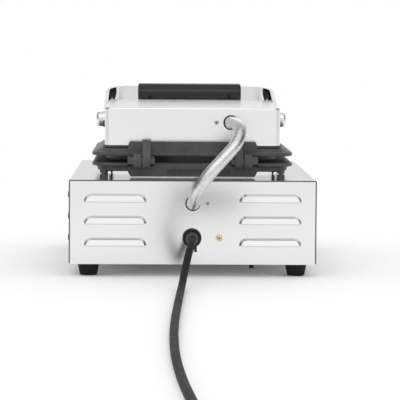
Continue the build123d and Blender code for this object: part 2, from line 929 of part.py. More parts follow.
def make_mount_studs():
    """Studs from the bosses of the lower plate through the top of the base."""
    return group(
        [
            rod(stud_radius, place(x, depth, -stud_below), place(x, depth, stud_boss_rise + 6))
            for x, depth in stud_places()
        ]
    )


def make_mount_nuts():
    """Nuts above and below the top of the base on each stud."""
    pieces = []
    nut_flats, nut_height = mount_nut
    for x, depth in stud_places():
        for low in (0, -sheet - nut_height):
            start = place(x, depth, low)
            end = place(x, depth, low + nut_height)
            pieces.append(hexagon_bar(nut_flats, start, end) - rod(stud_radius, start, end))
    return group(pieces)


def make_hinge_bolts():
    """Two bolts on the hinge axis, heads outwards."""
    seat = knuckle_outer + bolt_washer_thickness
    head = hexagon_bar(
        bolt_across_flats,
        place(seat, hinge_depth, hinge_rise),
        place(seat + bolt_head_height, hinge_depth, hinge_rise),
    )
    tip = ear_inner - seam - bolt_nut_height - bolt_tip
    shank = rod(
        hinge_bolt_radius, place(tip, hinge_depth, hinge_rise), place(seat, hinge_depth, hinge_rise)
    )
    return group(mirrored(head + shank))


def make_hinge_washers():
    """Washer under each bolt head."""
    start = place(knuckle_outer, hinge_depth, hinge_rise)
    end = place(knuckle_outer + bolt_washer_thickness, hinge_depth, hinge_rise)
    return group(mirrored(rod(bolt_washer_radius, start, end) - rod(hinge_bolt_radius + 0.2, start, end)))


def make_hinge_nuts():
    """Nut on the inner end of each bolt, with a gap to the ear."""
    start = place(ear_inner - seam - bolt_nut_height, hinge_depth, hinge_rise)
    end = place(ear_inner - seam, hinge_depth, hinge_rise)
    nut = hexagon_bar(bolt_across_flats, start, end) - rod(hinge_bolt_radius, start, end)
    return group(mirrored(nut))


def lid_block(inset, open_below):
    """Body of the lid housing with a top that rises to the front."""
    low = base_top + upper_seat_rise - open_below
    half = lid_width / 2 - inset
    rear = lid_depth + inset
    front = lid_front - inset
    rise = (lid_height_front - lid_height_rear) / lid_depth_size
    top = base_top + upper_seat_rise + lid_height_rear - inset
    corners = [
        Vector(-half, y_at(rear), low),
        Vector(-half, y_at(front), low),
        Vector(-half, y_at(front), top + rise * (front - lid_depth)),
        Vector(-half, y_at(rear), top + rise * (rear - lid_depth)),
    ]
    face = make_face(Polyline(*corners, close=True).edges())
    body = extrude(face, 2 * half, dir=(1, 0, 0))
    upright = body.edges().filter_by(Axis.Z)
    body = fillet(upright, lid_corner - inset)
    lid_top = body.faces().sort_by(Axis.Z)[-1]
    return fillet(lid_top.edges(), lid_edge - inset)


def make_lid_housing():
    """Drawn steel box, open below, with holes for conduit, screw and handle studs."""
    housing = lid_block(0, 0) - lid_block(sheet, 2 * sheet)
    middle = lid_depth + sheet / 2
    housing = through_hole(housing, ferrule_sleeve + 0.1, conduit_lid_x, middle, conduit_lid_rise)
    housing = through_hole(housing, clamp_screw_radius + 0.1, lid_clamp_screw_x, middle, conduit_lid_rise)
    reach = lid_width / 2 + sheet
    start = place(-reach, handle_pivot_depth, handle_pivot_rise)
    end = place(reach, handle_pivot_depth, handle_pivot_rise)
    return housing - rod(handle_stud_radius + 0.1, start, end)


def handle_plane():
    """Plane of the strap: X across, -Y towards the grip, Z square to the strap's loop."""
    slope = math.radians(handle_slope)
    return Plane(
        origin=place(0, handle_pivot_depth, handle_pivot_rise),
        x_dir=(1, 0, 0),
        z_dir=(0, math.sin(slope), math.cos(slope)),
    )


def make_handle_strap():
    """Flat bar bent to a U, its ends rounded about the studs."""
    loop_front = handle_reach + strap_thickness / 2
    loop_back = strap_width + strap_bend + strap_thickness
    length = loop_front + loop_back
    centre = Pos(0, (loop_back - loop_front) / 2, 0)
    outer = centre * RectangleRounded(2 * strap_outer, length, strap_bend + strap_thickness)
    inner_length = length - 2 * strap_thickness
    inner = centre * RectangleRounded(2 * strap_inner, inner_length, strap_bend)
    loop = extrude(Pos(0, 0, -strap_width / 2) * (outer - inner), strap_width)
    straight = Pos(0, -loop_front / 2, 0) * Box(2 * strap_outer + 2, loop_front, strap_width + 2)
    round_end = Rot(0, 90, 0) * Cylinder(strap_width / 2, 2 * strap_outer + 2)
    strap = loop & (straight + round_end)
    strap -= Rot(0, 90, 0) * Cylinder(handle_stud_radius + 0.1, 2 * strap_outer + 2)
    for side in (-1, 1):
        hole = Pos(side * grip_screw_spacing / 2, -handle_reach, 0) * Rot(90, 0, 0)
        strap -= hole * Cylinder(grip_screw_radius + 0.2, 3 * strap_thickness)
    return handle_plane() * strap


def grip_half(front):
    """Half of the grip, hollowed for the strap and drilled for its screws."""
    body = Rot(0, 90, 0) * Cylinder(grip_radius, grip_length)
    body = fillet(body.edges(), grip_round)
    side = -1 if front else 1
    keep = Pos(0, side * grip_radius, 0) * Box(2 * grip_length, 2 * grip_radius, 4 * grip_radius)
    half = body & keep
    half -= Box(2 * grip_length, strap_thickness, strap_width + 0.2)
    for end in (-1, 1):
        where = Pos(end * grip_screw_spacing / 2, 0, 0) * Rot(90, 0, 0)
        if front:
            half -= where * Pos(0, 0, grip_radius / 2) * Cylinder(grip_screw_radius + 0.02, grip_radius * 0.7)
        else:
            half -= where * Cylinder(grip_screw_radius + 0.1, 3 * grip_radius)
            recess = Pos(0, 0, -grip_radius) * Cylinder(grip_recess_radius, 2 * grip_recess_depth)
            half -= where * recess
    return handle_plane() * (Pos(0, -handle_reach, 0) * half)


def make_grip_screws():
    """Two screws sunk in the rear half of the grip."""
    pieces = []
    seat = grip_radius - grip_recess_depth
    for end in (-1, 1):
        where = Pos(end * grip_screw_spacing / 2, -handle_reach, 0) * Rot(90, 0, 0)
        head = Pos(0, 0, -seat - 1) * Cylinder(grip_screw_head, 2)
        shank = Pos(0, 0, (grip_radius * 0.7 - seat) / 2) * Cylinder(grip_screw_radius, seat + grip_radius * 0.7)
        pieces.append(handle_plane() * (where * (head + shank)))
    return group(pieces)


def make_handle_cap(side):
    """Polished round cap over the end of a handle stud."""
    inner = place(side * strap_outer, handle_pivot_depth, handle_pivot_rise)
    outer = place(side * (strap_outer + cap_reach), handle_pivot_depth, handle_pivot_rise)
    cap = Part() + rod(cap_radius, inner, outer)
    edge = cap.edges().sort_by(Axis.X)[-1 if side > 0 else 0]
    cap = fillet(edge, cap_round)
    drill_end = place(side * (strap_outer + cap_reach * 0.6), handle_pivot_depth, handle_pivot_rise)
    return cap - rod(handle_stud_radius + 0.02, inner, drill_end)


def bracket_x():
    """Inner and outer x of the leaf that holds a handle stud."""
    outer = lid_width / 2 - sheet - shoulder_gap - shoulder_wall - 1
    return outer - bracket_thickness, outer


def make_handle_brackets():
    """Angle inside each side of the lid, with a sleeve out to the housing."""
    inner, outer = bracket_x()
    low = base_top + web_top
    depths = (handle_pivot_depth - bracket_width / 2, handle_pivot_depth + bracket_width / 2)
    leaf = block((inner, outer), depths, (low, low + bracket_height))
    foot = block((inner - bracket_foot, inner), depths, (low, low + bracket_thickness))
    wall = place(lid_width / 2 - sheet, handle_pivot_depth, handle_pivot_rise)
    start = place(inner, handle_pivot_depth, handle_pivot_rise)
    angle = leaf + foot + rod(bracket_sleeve_radius, start, wall)
    return group(mirrored(angle - rod(handle_stud_radius + 0.02, start, wall)))


def make_handle_studs():
    """Stud through bracket, housing, strap and cap, with a nut inside."""
    inner, _ = bracket_x()
    tip = place(strap_outer + cap_reach * 0.55, handle_pivot_depth, handle_pivot_rise)
    nut_flats, nut_length = handle_nut
    nut_start = place(inner - nut_length, handle_pivot_depth, handle_pivot_rise)
    nut_end = place(inner, handle_pivot_depth, handle_pivot_rise)
    start = place(inner - nut_length - 2, handle_pivot_depth, handle_pivot_rise)
    stud = rod(handle_stud_radius, start, tip)
    nut = hexagon_bar(nut_flats, nut_start, nut_end) - rod(handle_stud_radius, nut_start, nut_end)
    return group(mirrored(stud) + mirrored(nut))


def route_wire(points):
    """Straight runs joined by arcs, each as large as its two runs allow."""
    points = [Vector(*point) for point in points]
    radii = []
    for before, here, after in zip(points, points[1:], points[2:]):
        turn = math.radians((here - before).get_angle(after - here))
        shorter = min((here - before).length, (after - here).length)
        radii.append(0.45 * shorter / math.tan(turn / 2))
    return FilletPolyline(*points, radius=radii), radii


def tube_on(wire, radius):
    """Round solid swept along a wire from its start."""
    section = Plane(origin=wire @ 0, z_dir=wire % 0) * Circle(radius)
    return sweep(section, path=wire)


def make_conduit():
    """Strip-wound steel hose with shallow ribs and its bore."""
    wire, radii = route_wire([place(*point) for point in conduit_route])
    print("conduit arc radii", [round(radius, 1) for radius in radii])
    crest = conduit_diameter / 2
    root = crest - conduit_rib_height
    count = int(wire.length / conduit_rib_pitch)
    pitch = wire.length / count

    def ring(station, radius):
        at = station * pitch
        origin = wire.position_at(at, position_mode=PositionMode.LENGTH)
        way = wire.tangent_at(at, position_mode=PositionMode.LENGTH)
        return Plane(origin=origin, x_dir=(1, 0, 0), z_dir=way) * Circle(radius)

    def stretch(first, last):
        rings = []
        for rib in range(first, last):
            for share, radius in ((0, root), (0.18, crest), (0.68, crest), (0.86, root)):
                rings.append(ring(rib + share, radius))
        return loft(rings + [ring(last, root)], ruled=True)

    # One loft can't follow the hose through its turn of more than a quarter.
    halfway = int(count * 0.4)
    hose = stretch(0, halfway) + stretch(halfway, count)
    return hose - tube_on(wire, conduit_bore / 2)


def make_ferrule(x, depth, rise, outward):
    """Collar round the conduit where it goes through a wall."""
    flange_end = place(x, depth + outward * ferrule_lip, rise)
    face = place(x, depth, rise)
    inner_end = place(x, depth - outward * (sheet + 1.2), rise)
    ring = rod(ferrule_radius, face, flange_end) + rod(ferrule_sleeve, inner_end, flange_end)
    ring = ring - rod(conduit_diameter / 2 + ferrule_gap, inner_end, flange_end)
    rim = ring.edges().filter_by(GeomType.CIRCLE).sort_by(Axis.Y)[-2:]
    return chamfer(rim.sort_by(lambda edge: edge.length)[-1], 0.5)


def make_conduit_clamp(x, screw_x, depth, rise):
    """Clip behind a wall that grips the conduit and is held by one screw."""
    start = place(x, depth + 1.4, rise)
    end = place(x, depth + 1.4 + clamp_length, rise)
    bore = conduit_diameter / 2 + 0.2
    outer_radius = bore + clamp_thickness
    ring = rod(outer_radius, start, end)
    low_x = min(x, screw_x) - (5 if screw_x < x else 0)
    high_x = max(x, screw_x) + (5 if screw_x > x else 0)
    tab = block((low_x, high_x), (depth, depth + clamp_thickness), (base_top + rise - 5, base_top + rise + 5))
    tab -= rod(ferrule_sleeve + 0.3, place(x, depth - 1, rise), place(x, depth + clamp_thickness + 1, rise))
    web_x = x + math.copysign(ferrule_sleeve + 0.3, screw_x - x)
    web_far = x + math.copysign(outer_radius + 3, screw_x - x)
    web = block(
        (min(web_x, web_far), max(web_x, web_far)),
        (depth, depth + 1.4 + clamp_length),
        (base_top + rise - 5, base_top + rise + 5),
    )
    clamp = ring + tab + web
    clamp -= rod(bore, place(x, depth - 1, rise), place(x, depth + 2 + clamp_length, rise))
    return clamp - rod(clamp_screw_radius, place(screw_x, depth - 1, rise), place(screw_x, depth + 4, rise))


def make_clamp_screw(x, depth, rise):
    """Pan-head screw through a wall into its clamp."""
    outside = place(x, depth - 2.0, rise)
    face = place(x, depth, rise)
    head = Part() + rod(clamp_screw_head, outside, face)
    head = fillet(head.edges().sort_by(Axis.Y)[-1], 1.0)
    return head + rod(clamp_screw_radius - 0.02, face, place(x, depth + sheet + 4, rise))


def make_cable_gland():
    """Flanged gland with a tapered boot and a hanging clamp tongue."""
    face = place(gland_x, panel_outer, gland_rise)
    flange_end = place(gland_x, -gland_flange, gland_rise)
    boot_end = place(gland_x, -gland_flange - gland_boot_length, gland_rise)
    inner_end = place(gland_x, panel_inner + gland_nut_height + 3, gland_rise)
    flange = Part() + rod(gland_radius, face, flange_end)
    flange = fillet(flange.edges().sort_by(Axis.Y)[-1], 1.2)
    gland = flange + cone(gland_boot_root, gland_boot_tip, flange_end, boot_end)
    gland += rod(gland_sleeve_radius, inner_end, face)
    width, thick, drop = gland_tongue
    tongue_z = base_top + gland_rise - gland_radius
    gland += block(
        (gland_x - 4.5 - width / 2, gland_x - 4.5 + width / 2),
        (-thick, 0),
        (tongue_z - drop * 0.7, tongue_z + drop * 0.3),
    )
    return gland - rod(cord_diameter / 2, inner_end, place(gland_x, -2, gland_rise))


def make_gland_nut():
    """Nut that holds the gland behind the rear panel."""
    start = place(gland_x, panel_inner, gland_rise)
    end = place(gland_x, panel_inner + gland_nut_height, gland_rise)
    return hexagon_bar(gland_nut_flats, start, end) - rod(gland_sleeve_radius, start, end)


def make_earth_terminal():
    """Brass earth screw with its washer on the rear panel."""
    face = place(earth_x, panel_outer, gland_rise)
    washer_end = place(earth_x, panel_outer - 1.0, gland_rise)
    head_end = place(earth_x, panel_outer - 1.0 - earth_head_height, gland_rise)
    washer = rod(earth_washer_radius, face, washer_end) - rod(earth_screw_radius + 0.02, face, washer_end)
    head = Part() + rod(earth_head_radius, washer_end, head_end)
    head = fillet(head.edges().sort_by(Axis.Y)[-1], earth_head_round)
    shank = rod(earth_screw_radius, washer_end, place(earth_x, panel_inner + 8, gland_rise))
    nut_start = place(earth_x, panel_inner, gland_rise)
    nut_end = place(earth_x, panel_inner + earth_nut[1], gland_rise)
    nut = hexagon_bar(earth_nut[0], nut_start, nut_end) - rod(earth_screw_radius, nut_start, nut_end)
    return group([washer, head + shank, nut])


def cord_points():
    """Points of the cord's free stretch."""
    return [Vector(x, y_at(depth), height) for x, depth, height in cord_route]


def make_cord():
    """Free stretch of the mains cord, from the gland to the coil."""
    wire, radii = route_wire(cord_points())
    print("cord arc radii", [round(radius, 1) for radius in radii], "length", round(wire.length, 1))
    tube = tube_on(wire, cord_diameter / 2)
    expected = math.pi * (cord_diameter / 2) ** 2 * wire.length
    print("cord volume share", round(tube.volume / expected, 5))
    return tube


def biarc(start, start_way, end, end_way):
    """Two arcs that join two points and keep both directions."""
    chord = end - start
    ways = start_way + end_way
    bend = 2 * (1 - start_way.dot(end_way))
    along = chord.dot(ways)
    handle = (-along + math.sqrt(along**2 + bend * chord.dot(chord))) / bend
    middle = (start + end + (start_way - end_way) * handle) * 0.5
    middle_way = ((end - end_way * handle) - (start + start_way * handle)).normalized()
    return [
        TangentArc(start, middle, tangent=start_way),
        TangentArc(middle, end, tangent=middle_way),
    ]


def coil_frame():
    """Centre of the coil, direction of the cord where it begins, and its right side."""
    points = cord_points()
    way = (points[-1] - points[-2]).normalized()
    side = Vector(way.Y, -way.X, 0)
    return points[-1] + way * cord_diameter - side * coil_outer, way, side


def coil_stations():
    """Points and directions along the coil at each quarter turn.

    It spirals in, climbs a layer in the half turn where it reverses, and spirals out.
    """
    centre, way, side = coil_frame()
    reversal = int(coil_layer_turns * 4) + 1
    stations = []
    for quarter in range(2 * reversal + 1):
        radius = coil_outer - coil_pitch * (reversal - abs(quarter - reversal)) / 4
        layer = min(max((quarter - reversal + 1) / 2, 0), 1)
        climb = coil_pitch / 2 / radius if quarter == reversal else 0
        angle = math.pi / 2 * quarter
        outward = side * math.cos(angle) + way * math.sin(angle)
        along = way * math.cos(angle) - side * math.sin(angle) + Vector(0, 0, climb)
        point = centre + outward * radius + Vector(0, 0, layer * coil_pitch)
        stations.append((point, along.normalized()))
    return stations


def coil_wire():
    """One unbroken line of the coil, with straight ends."""
    stations = coil_stations()
    pieces = [Line(cord_points()[-1], stations[0][0])]
    for (here, here_way), (there, there_way) in zip(stations, stations[1:]):
        pieces.extend(biarc(here, here_way, there, there_way))
    end, end_way = stations[-1]
    pieces.append(Line(end, end + end_way * 3 * cord_diameter))
    return Wire([edge for piece in pieces for edge in piece.edges()])


def coil_end():
    """Point and direction where the coil meets the plug."""
    end, end_way = coil_stations()[-1]
    return end + end_way * 3 * cord_diameter, end_way


def least_gap(wire, radius):
    """Smallest space between stretches of a tube that lie apart along it."""
    count = 400
    step = wire.length / count
    points = [wire @ (index / count) for index in range(count + 1)]
    apart = int(4 * radius / step) + 8
    nearest = min(
        (points[i] - points[j]).length for i in range(count + 1) for j in range(i + apart, count + 1)
    )
    return nearest - 2 * radius


def make_cord_coil():
    """Rest of the cord, wound in two layers on the floor."""
    wire = coil_wire()
    print("coil length", round(wire.length, 1), "least gap", round(least_gap(wire, cord_diameter / 2), 2))
    return tube_on(wire, cord_diameter / 2)


def plug_plane():
    """Plane at the end of the coil, Z along the plug."""
    end, way = coil_end()
    return Plane(origin=end, x_dir=(0, 0, 1), z_dir=way)


def make_plug_body():
    """Moulded plug with a tapered neck."""
    neck = Solid.make_cone(cord_diameter / 2 + 1, plug_height * 0.36, plug_neck_length)
    body = Pos(0, 0, plug_neck_length + plug_length / 2) * Box(plug_height, plug_width, plug_length)
    body = fillet(body.edges().filter_by(Axis.Z), plug_round)
    rear = body.faces().sort_by(Axis.Z)[0]
    body = fillet(rear.edges(), plug_round * 0.6)
    return plug_plane() * (neck + body)


def make_plug_pins():
    """Two flat blades and a round earth pin."""
    front = plug_neck_length + plug_length
    thick, wide, long = blade
    pins = []
    for side in (-1, 1):
        centre = Pos(earth_pin_drop / 2, side * blade_spacing / 2, front + long / 2)
        pins.append(plug_plane() * (centre * Box(wide, thick, long)))
    pin = Pos(-earth_pin_drop, 0, front + earth_pin_length / 2) * Cylinder(earth_pin_radius, earth_pin_length)
    return group(pins + [plug_plane() * pin])


def make_coil_tie():
    """Strap round the turns of the coil where they pass nearest to the appliance."""
    _, way, side = coil_frame()
    quarter = 3
    turns = [point for point, _ in coil_stations()[quarter::4]]
    near = min((point - turns[0]).dot(way) for point in turns)
    far = max((point - turns[0]).dot(way) for point in turns)
    middle = turns[0] + way * ((near + far) / 2) + Vector(0, 0, coil_pitch / 2)
    width = far - near + cord_diameter + 2 * coil_tie_play
    height = coil_pitch + cord_diameter + 2 * coil_tie_gap
    hole = Box(width, height, coil_tie_width * 2)
    band = Box(width + 2 * coil_tie_thickness, height + 2 * coil_tie_thickness, coil_tie_width)
    band = fillet(band.edges().filter_by(Axis.Z), cord_diameter / 3)
    return Plane(origin=middle, x_dir=way, z_dir=side) * (band - hole)


def dial_place(side, depth):
    """Point on a dial's axis."""
    return place(side * dial_spacing / 2, depth, dial_rise)


def make_dial_body(side, size):
    """Body behind the front panel with a threaded bush through it."""
    width, length, height = size
    back = base_depth - panel_inner
    x = side * dial_spacing / 2
    z = base_top + dial_rise
    body = block((x - width / 2, x + width / 2), (back - length, back), (z - height / 2, z + height / 2))
    body = fillet(body.edges().filter_by(Axis.Y), 2.0)
    bush_end = dial_place(side, back + bush_length)
    body += rod(bush_radius, dial_place(side, back), bush_end)
    for shift in (-0.3, 0.3):
        tag_x = x + shift * width
        body += block((tag_x - 3, tag_x + 3), (back - length - 9, back - length), (z + 4, z + 5))
    return body - rod(shaft_radius + running_gap, dial_place(side, back - length * 0.6), bush_end)


def make_dial_shaft(side, length):
    """Shaft with a flat, from inside the dial's body to inside the knob."""
    back = base_depth - panel_inner
    start = dial_place(side, back - length * 0.6 + seam)
    end = dial_place(side, base_depth + knob_gap + knob_height - knob_wall - 0.5)
    flat_low = base_top + dial_rise + shaft_radius - shaft_flat
    x = side * dial_spacing / 2
    flat_start = back + bush_length + 1
    flat = block((x - 5, x + 5), (flat_start, base_depth + knob_reach), (flat_low, flat_low + 5))
    return rod(shaft_radius, start, end) - flat


def make_knob(side):
    """Knob with a round skirt and a raised bar to turn it by."""
    face = base_depth - panel_recess + knob_gap
    x = side * dial_spacing / 2
    z = base_top + dial_rise
    skirt = Part() + rod(knob_radius, dial_place(side, face), dial_place(side, face + knob_skirt))
    skirt = fillet(skirt.edges().sort_by(Axis.Y)[0], 2.0)
    drum = cone(
        knob_radius * 0.74,
        knob_radius * 0.66,
        dial_place(side, face + knob_skirt),
        dial_place(side, face + knob_height * 0.55),
    )
    half = knob_grip_width / 2
    bar = block(
        (x - half, x + half), (face + knob_skirt, face + knob_height), (z - knob_radius * 0.9, z + knob_radius * 0.9)
    )
    bar = fillet(bar.edges().filter_by(Axis.Y), knob_grip_round)
    bar = fillet(bar.faces().sort_by(Axis.Y)[0].edges(), 1.6)
    knob = skirt + drum + bar
    cup_end = face + knob_skirt + 2
    knob -= rod(knob_radius * 0.6, dial_place(side, face - 1), dial_place(side, cup_end))
    hub_start = base_depth - panel_inner + bush_length + 1.5
    knob += rod(knob_radius * 0.3, dial_place(side, hub_start), dial_place(side, cup_end + 1))
    bore = rod(shaft_radius, dial_place(side, face - 1), dial_place(side, face + knob_height - knob_wall))
    flat_low = z + shaft_radius - shaft_flat
    bore -= block((x - 5, x + 5), (face - 1, face + knob_height), (flat_low, flat_low + 5))
    return knob - bore


def make_lamp_bezels():
    """Bezel and body of the two pilot lamps."""
    pieces = []
    face = base_depth - panel_recess
    for side in (-1, 1):
        x = side * lamp_spacing / 2
        inner = face - sheet - lamp_body_length
        flange = Part() + rod(lamp_radius, place(x, face, lamp_rise), place(x, face + 2, lamp_rise))
        flange = chamfer(flange.edges().sort_by(Axis.Y)[0], 0.8)
        body = rod(lamp_lens_radius + 1, place(x, inner, lamp_rise), place(x, face, lamp_rise))
        bore = rod(lamp_lens_radius, place(x, face - 8, lamp_rise), place(x, face + 3, lamp_rise))
        pieces.append(flange + body - bore)
    return group(pieces)


def make_lamp_lens(side):
    """Domed lens of a pilot lamp."""
    face = base_depth - panel_recess
    x = side * lamp_spacing / 2
    start = place(x, face - 6, lamp_rise)
    rim = place(x, face + 1.5, lamp_rise)
    lens = Part() + rod(lamp_lens_radius - 0.02, start, place(x, face + 1.5 + lamp_dome, lamp_rise))
    lens = fillet(lens.edges().sort_by(Axis.Y)[0], lamp_dome * 0.9)
    return lens + rod(lamp_lens_radius - 0.02, start, rim)


def make_element(rise):
    """Tubular heating element: a loop with two legs, and a pin on each leg."""
    joint = math.sqrt(element_loop**2 - element_legs**2)
    with BuildLine() as loop:
        Line((-element_legs, element_tail), (-element_legs, joint))
        ThreePointArc((-element_legs, joint), (0, -element_loop), (element_legs, joint))
        Line((element_legs, joint), (element_legs, element_tail))
        corners = loop.vertices().filter_by(lambda vertex: abs(vertex.Y - joint) < 0.01)
        fillet(corners, element_bend)
    where = Pos(*place(0, plate_centre, rise))
    wire = where * loop.line
    section = Plane(origin=wire @ 0, z_dir=wire % 0) * Circle(element_radius)
    pieces = [sweep(section, path=wire)]
    for side in (-1, 1):
        pin = Pos(side * element_legs, element_tail + element_pin_length / 2, 0) * Rot(90, 0, 0)
        pieces.append(where * pin * Cylinder(element_pin_radius, element_pin_length))
    return group(pieces)


def make_element_cover(rise, direction):
    """Round pressure plate over an element, with its stud and nut."""
    low = rise
    high = rise + direction * cover_thickness
    disc = rod(cover_radius, place(0, plate_centre, low), place(0, plate_centre, high))
    for side in (-1, 1):
        x = side * cover_radius * 0.55
        disc -= rod(7, place(x, plate_centre, low), place(x, plate_centre, high))
    root = rise - direction * 2 * element_radius
    tip = root + direction * cover_stud_length
    stud = rod(cover_stud_radius, place(0, plate_centre, root), place(0, plate_centre, tip))
    disc -= rod(cover_stud_radius + 0.1, place(0, plate_centre, low), place(0, plate_centre, high))
    nut_end = place(0, plate_centre, high + direction * 5)
    nut = hexagon_bar(cover_nut_flats, place(0, plate_centre, high), nut_end)
    nut -= rod(cover_stud_radius, place(0, plate_centre, high), nut_end)
    return group([disc, stud, nut])


def make_thermostat_bulb():
    """Bulb against the lower plate, with the thin tube down to the thermostat."""
    rise = lower_foot_rise - bulb_radius
    start = place(bulb_x, plate_centre - bulb_length / 2, rise)
    end = place(bulb_x, plate_centre + bulb_length / 2, rise)
    bulb = rod(bulb_radius, start, end)
    back = base_depth - panel_inner - thermostat_body_size[1]
    wire, _ = route_wire(
        [
            end,
            place(bulb_x, plate_centre + bulb_length / 2 + 24, rise - 2),
            place(bulb_x - 2, plate_centre + bulb_length / 2 + 40, -24),
            place(dial_spacing / 2 - 2, back - 40, -34),
            place(dial_spacing / 2, back - 18, dial_rise - 8),
            place(dial_spacing / 2, back, dial_rise - 8),
        ]
    )
    return group([bulb + tube_on(wire, capillary_radius)])


def make_terminal_block():
    """Ceramic block on the tray with three pairs of terminals."""
    width, length, height = block_size
    low = shell_bottom
    body = block(
        (block_x - width / 2, block_x + width / 2),
        (block_depth - length / 2, block_depth + length / 2),
        (low, low + height),
    )
    body = fillet(body.edges().filter_by(Axis.Z), 1.5)
    pieces = []
    for way in (-1, 0, 1):
        for side in (-1, 1):
            x = block_x + way * width / 3
            y = y_at(block_depth + side * length / 4)
            top = Vector(x, y, low + height)
            body -= rod(3, top - Vector(0, 0, 6), top)
            pieces.append(rod(2.5, top - Vector(0, 0, 6), top - Vector(0, 0, 2)))
    return group([body] + pieces)


def lead(point, step):
    """Point that keeps the end of a wire square to the piece it meets."""
    x, depth, rise = point
    return x, depth + step * wire_lead, rise


def make_inner_wires():
    """Wires from the block to gland, dials, lamps, elements and conduit."""
    top = base_top
    dial_back = base_depth - panel_inner
    timer_back = dial_back - timer_body_size[1] - 9
    thermostat_back = dial_back - thermostat_body_size[1] - 9
    near = block_depth - block_size[1] / 2
    far = block_depth + block_size[1] / 2
    low = shell_bottom - top + block_size[2] - 7
    left = block_x - block_size[0] / 3
    right = block_x + block_size[0] / 3
    half = dial_spacing / 2
    gland_inner = panel_inner + gland_nut_height + 3
    lamp_back = base_depth - panel_recess - sheet - lamp_body_length
    timer_tag = (-half - 0.3 * timer_body_size[0], timer_back, dial_rise + 4.5)
    thermostat_tag = (half + 0.3 * thermostat_body_size[0], thermostat_back, dial_rise + 4.5)
    runs = [
        ((gland_x, gland_inner, gland_rise), (block_x, near, low), (30, 36, -78)),
        ((left, far, low), timer_tag, (-20, 180, dial_rise - 8)),
        ((right, far, low), thermostat_tag, (half + 22, 200, dial_rise - 8)),
        ((block_x, far, low), (-lamp_spacing / 2, lamp_back, lamp_rise), (30, 240, -70)),
        ((0, 6, conduit_base_rise), (left - 2, near, low), (14, 32, -60)),
    ]
    pieces = []
    for start, end, middle in runs:
        points = [start, lead(start, 1), middle, lead(end, -1), end]
        wire, _ = route_wire([place(*point) for point in points])
        pieces.append(tube_on(wire, wire_radius))
    return group(pieces)


def build_all():
    """Every node by name."""
    nodes = {
        "base_cover": make_base_cover(),
        "rear_panel": make_rear_panel(),
        "front_panel": make_front_panel(),
        "base_tray": make_base_tray(),
        "foot_screws": make_foot_screws(),
        "tray_screws": make_tray_screws(),
        "tray_plug": make_tray_plug(),
        "lower_skirt": make_lower_skirt(),
        "lower_plate": make_lower_plate(),
        "mount_studs": make_mount_studs(),
        "mount_nuts": make_mount_nuts(),
        "hinge_bolts": make_hinge_bolts(),
        "hinge_washers": make_hinge_washers(),
        "hinge_nuts": make_hinge_nuts(),
        "upper_plate": make_upper_plate(),
        "lid_housing": make_lid_housing(),
        "handle_strap": make_handle_strap(),
        "grip_front": grip_half(True),
        "grip_rear": grip_half(False),
        "grip_screws": make_grip_screws(),
        "handle_cap_left": make_handle_cap(-1),
        "handle_cap_right": make_handle_cap(1),
        "handle_brackets": make_handle_brackets(),
        "handle_studs": make_handle_studs(),
        "conduit": make_conduit(),
        "base_ferrule": make_ferrule(0, panel_outer, conduit_base_rise, -1),
        "lid_ferrule": make_ferrule(conduit_lid_x, lid_depth, conduit_lid_rise, -1),
        "base_conduit_clamp": make_conduit_clamp(0, base_clamp_screw_x, panel_inner, conduit_base_rise),
        "lid_conduit_clamp": make_conduit_clamp(
            conduit_lid_x, lid_clamp_screw_x, lid_depth + sheet, conduit_lid_rise
        ),
        "base_clamp_screw": make_clamp_screw(base_clamp_screw_x, panel_outer, conduit_base_rise),
        "lid_clamp_screw": make_clamp_screw(lid_clamp_screw_x, lid_depth, conduit_lid_rise),
        "cable_gland": make_cable_gland(),
        "gland_nut": make_gland_nut(),
        "earth_terminal": make_earth_terminal(),
        "cord": make_cord(),
        "cord_coil": make_cord_coil(),
        "coil_tie": make_coil_tie(),
        "plug_body": make_plug_body(),
        "plug_pins": make_plug_pins(),
        "thermostat_body": make_dial_body(1, thermostat_body_size),
        "thermostat_shaft": make_dial_shaft(1, thermostat_body_size[1]),
        "thermostat_knob": make_knob(1),
        "thermostat_bulb": make_thermostat_bulb(),
        "timer_body": make_dial_body(-1, timer_body_size),
        "timer_shaft": make_dial_shaft(-1, timer_body_size[1]),
        "timer_knob": make_knob(-1),
        "lamp_bezels": make_lamp_bezels(),
        "power_lens": make_lamp_lens(-1),
        "heating_lens": make_lamp_lens(1),
        "lower_element": make_element(lower_foot_rise - element_radius),
        "lower_element_cover": make_element_cover(lower_foot_rise - 2 * element_radius, -1),
        "upper_element": make_element(web_top + element_radius),
        "upper_element_cover": make_element_cover(web_top + 2 * element_radius, 1),
        "terminal_block": make_terminal_block(),
        "inner_wires": make_inner_wires(),
    }
    for name, x, depth in foot_places():
        nodes["foot_" + name] = make_foot(x, depth)
    return nodes


os.makedirs("parts", exist_ok=True)
for node_name, node_shape in build_all().items():
    export_step(node_shape, "parts/" + node_name + ".step")
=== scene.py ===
"""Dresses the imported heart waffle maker: finishes, hose, cord, dial marks, stage."""

import math

import bmesh
import bpy
from mathutils import Matrix, Vector


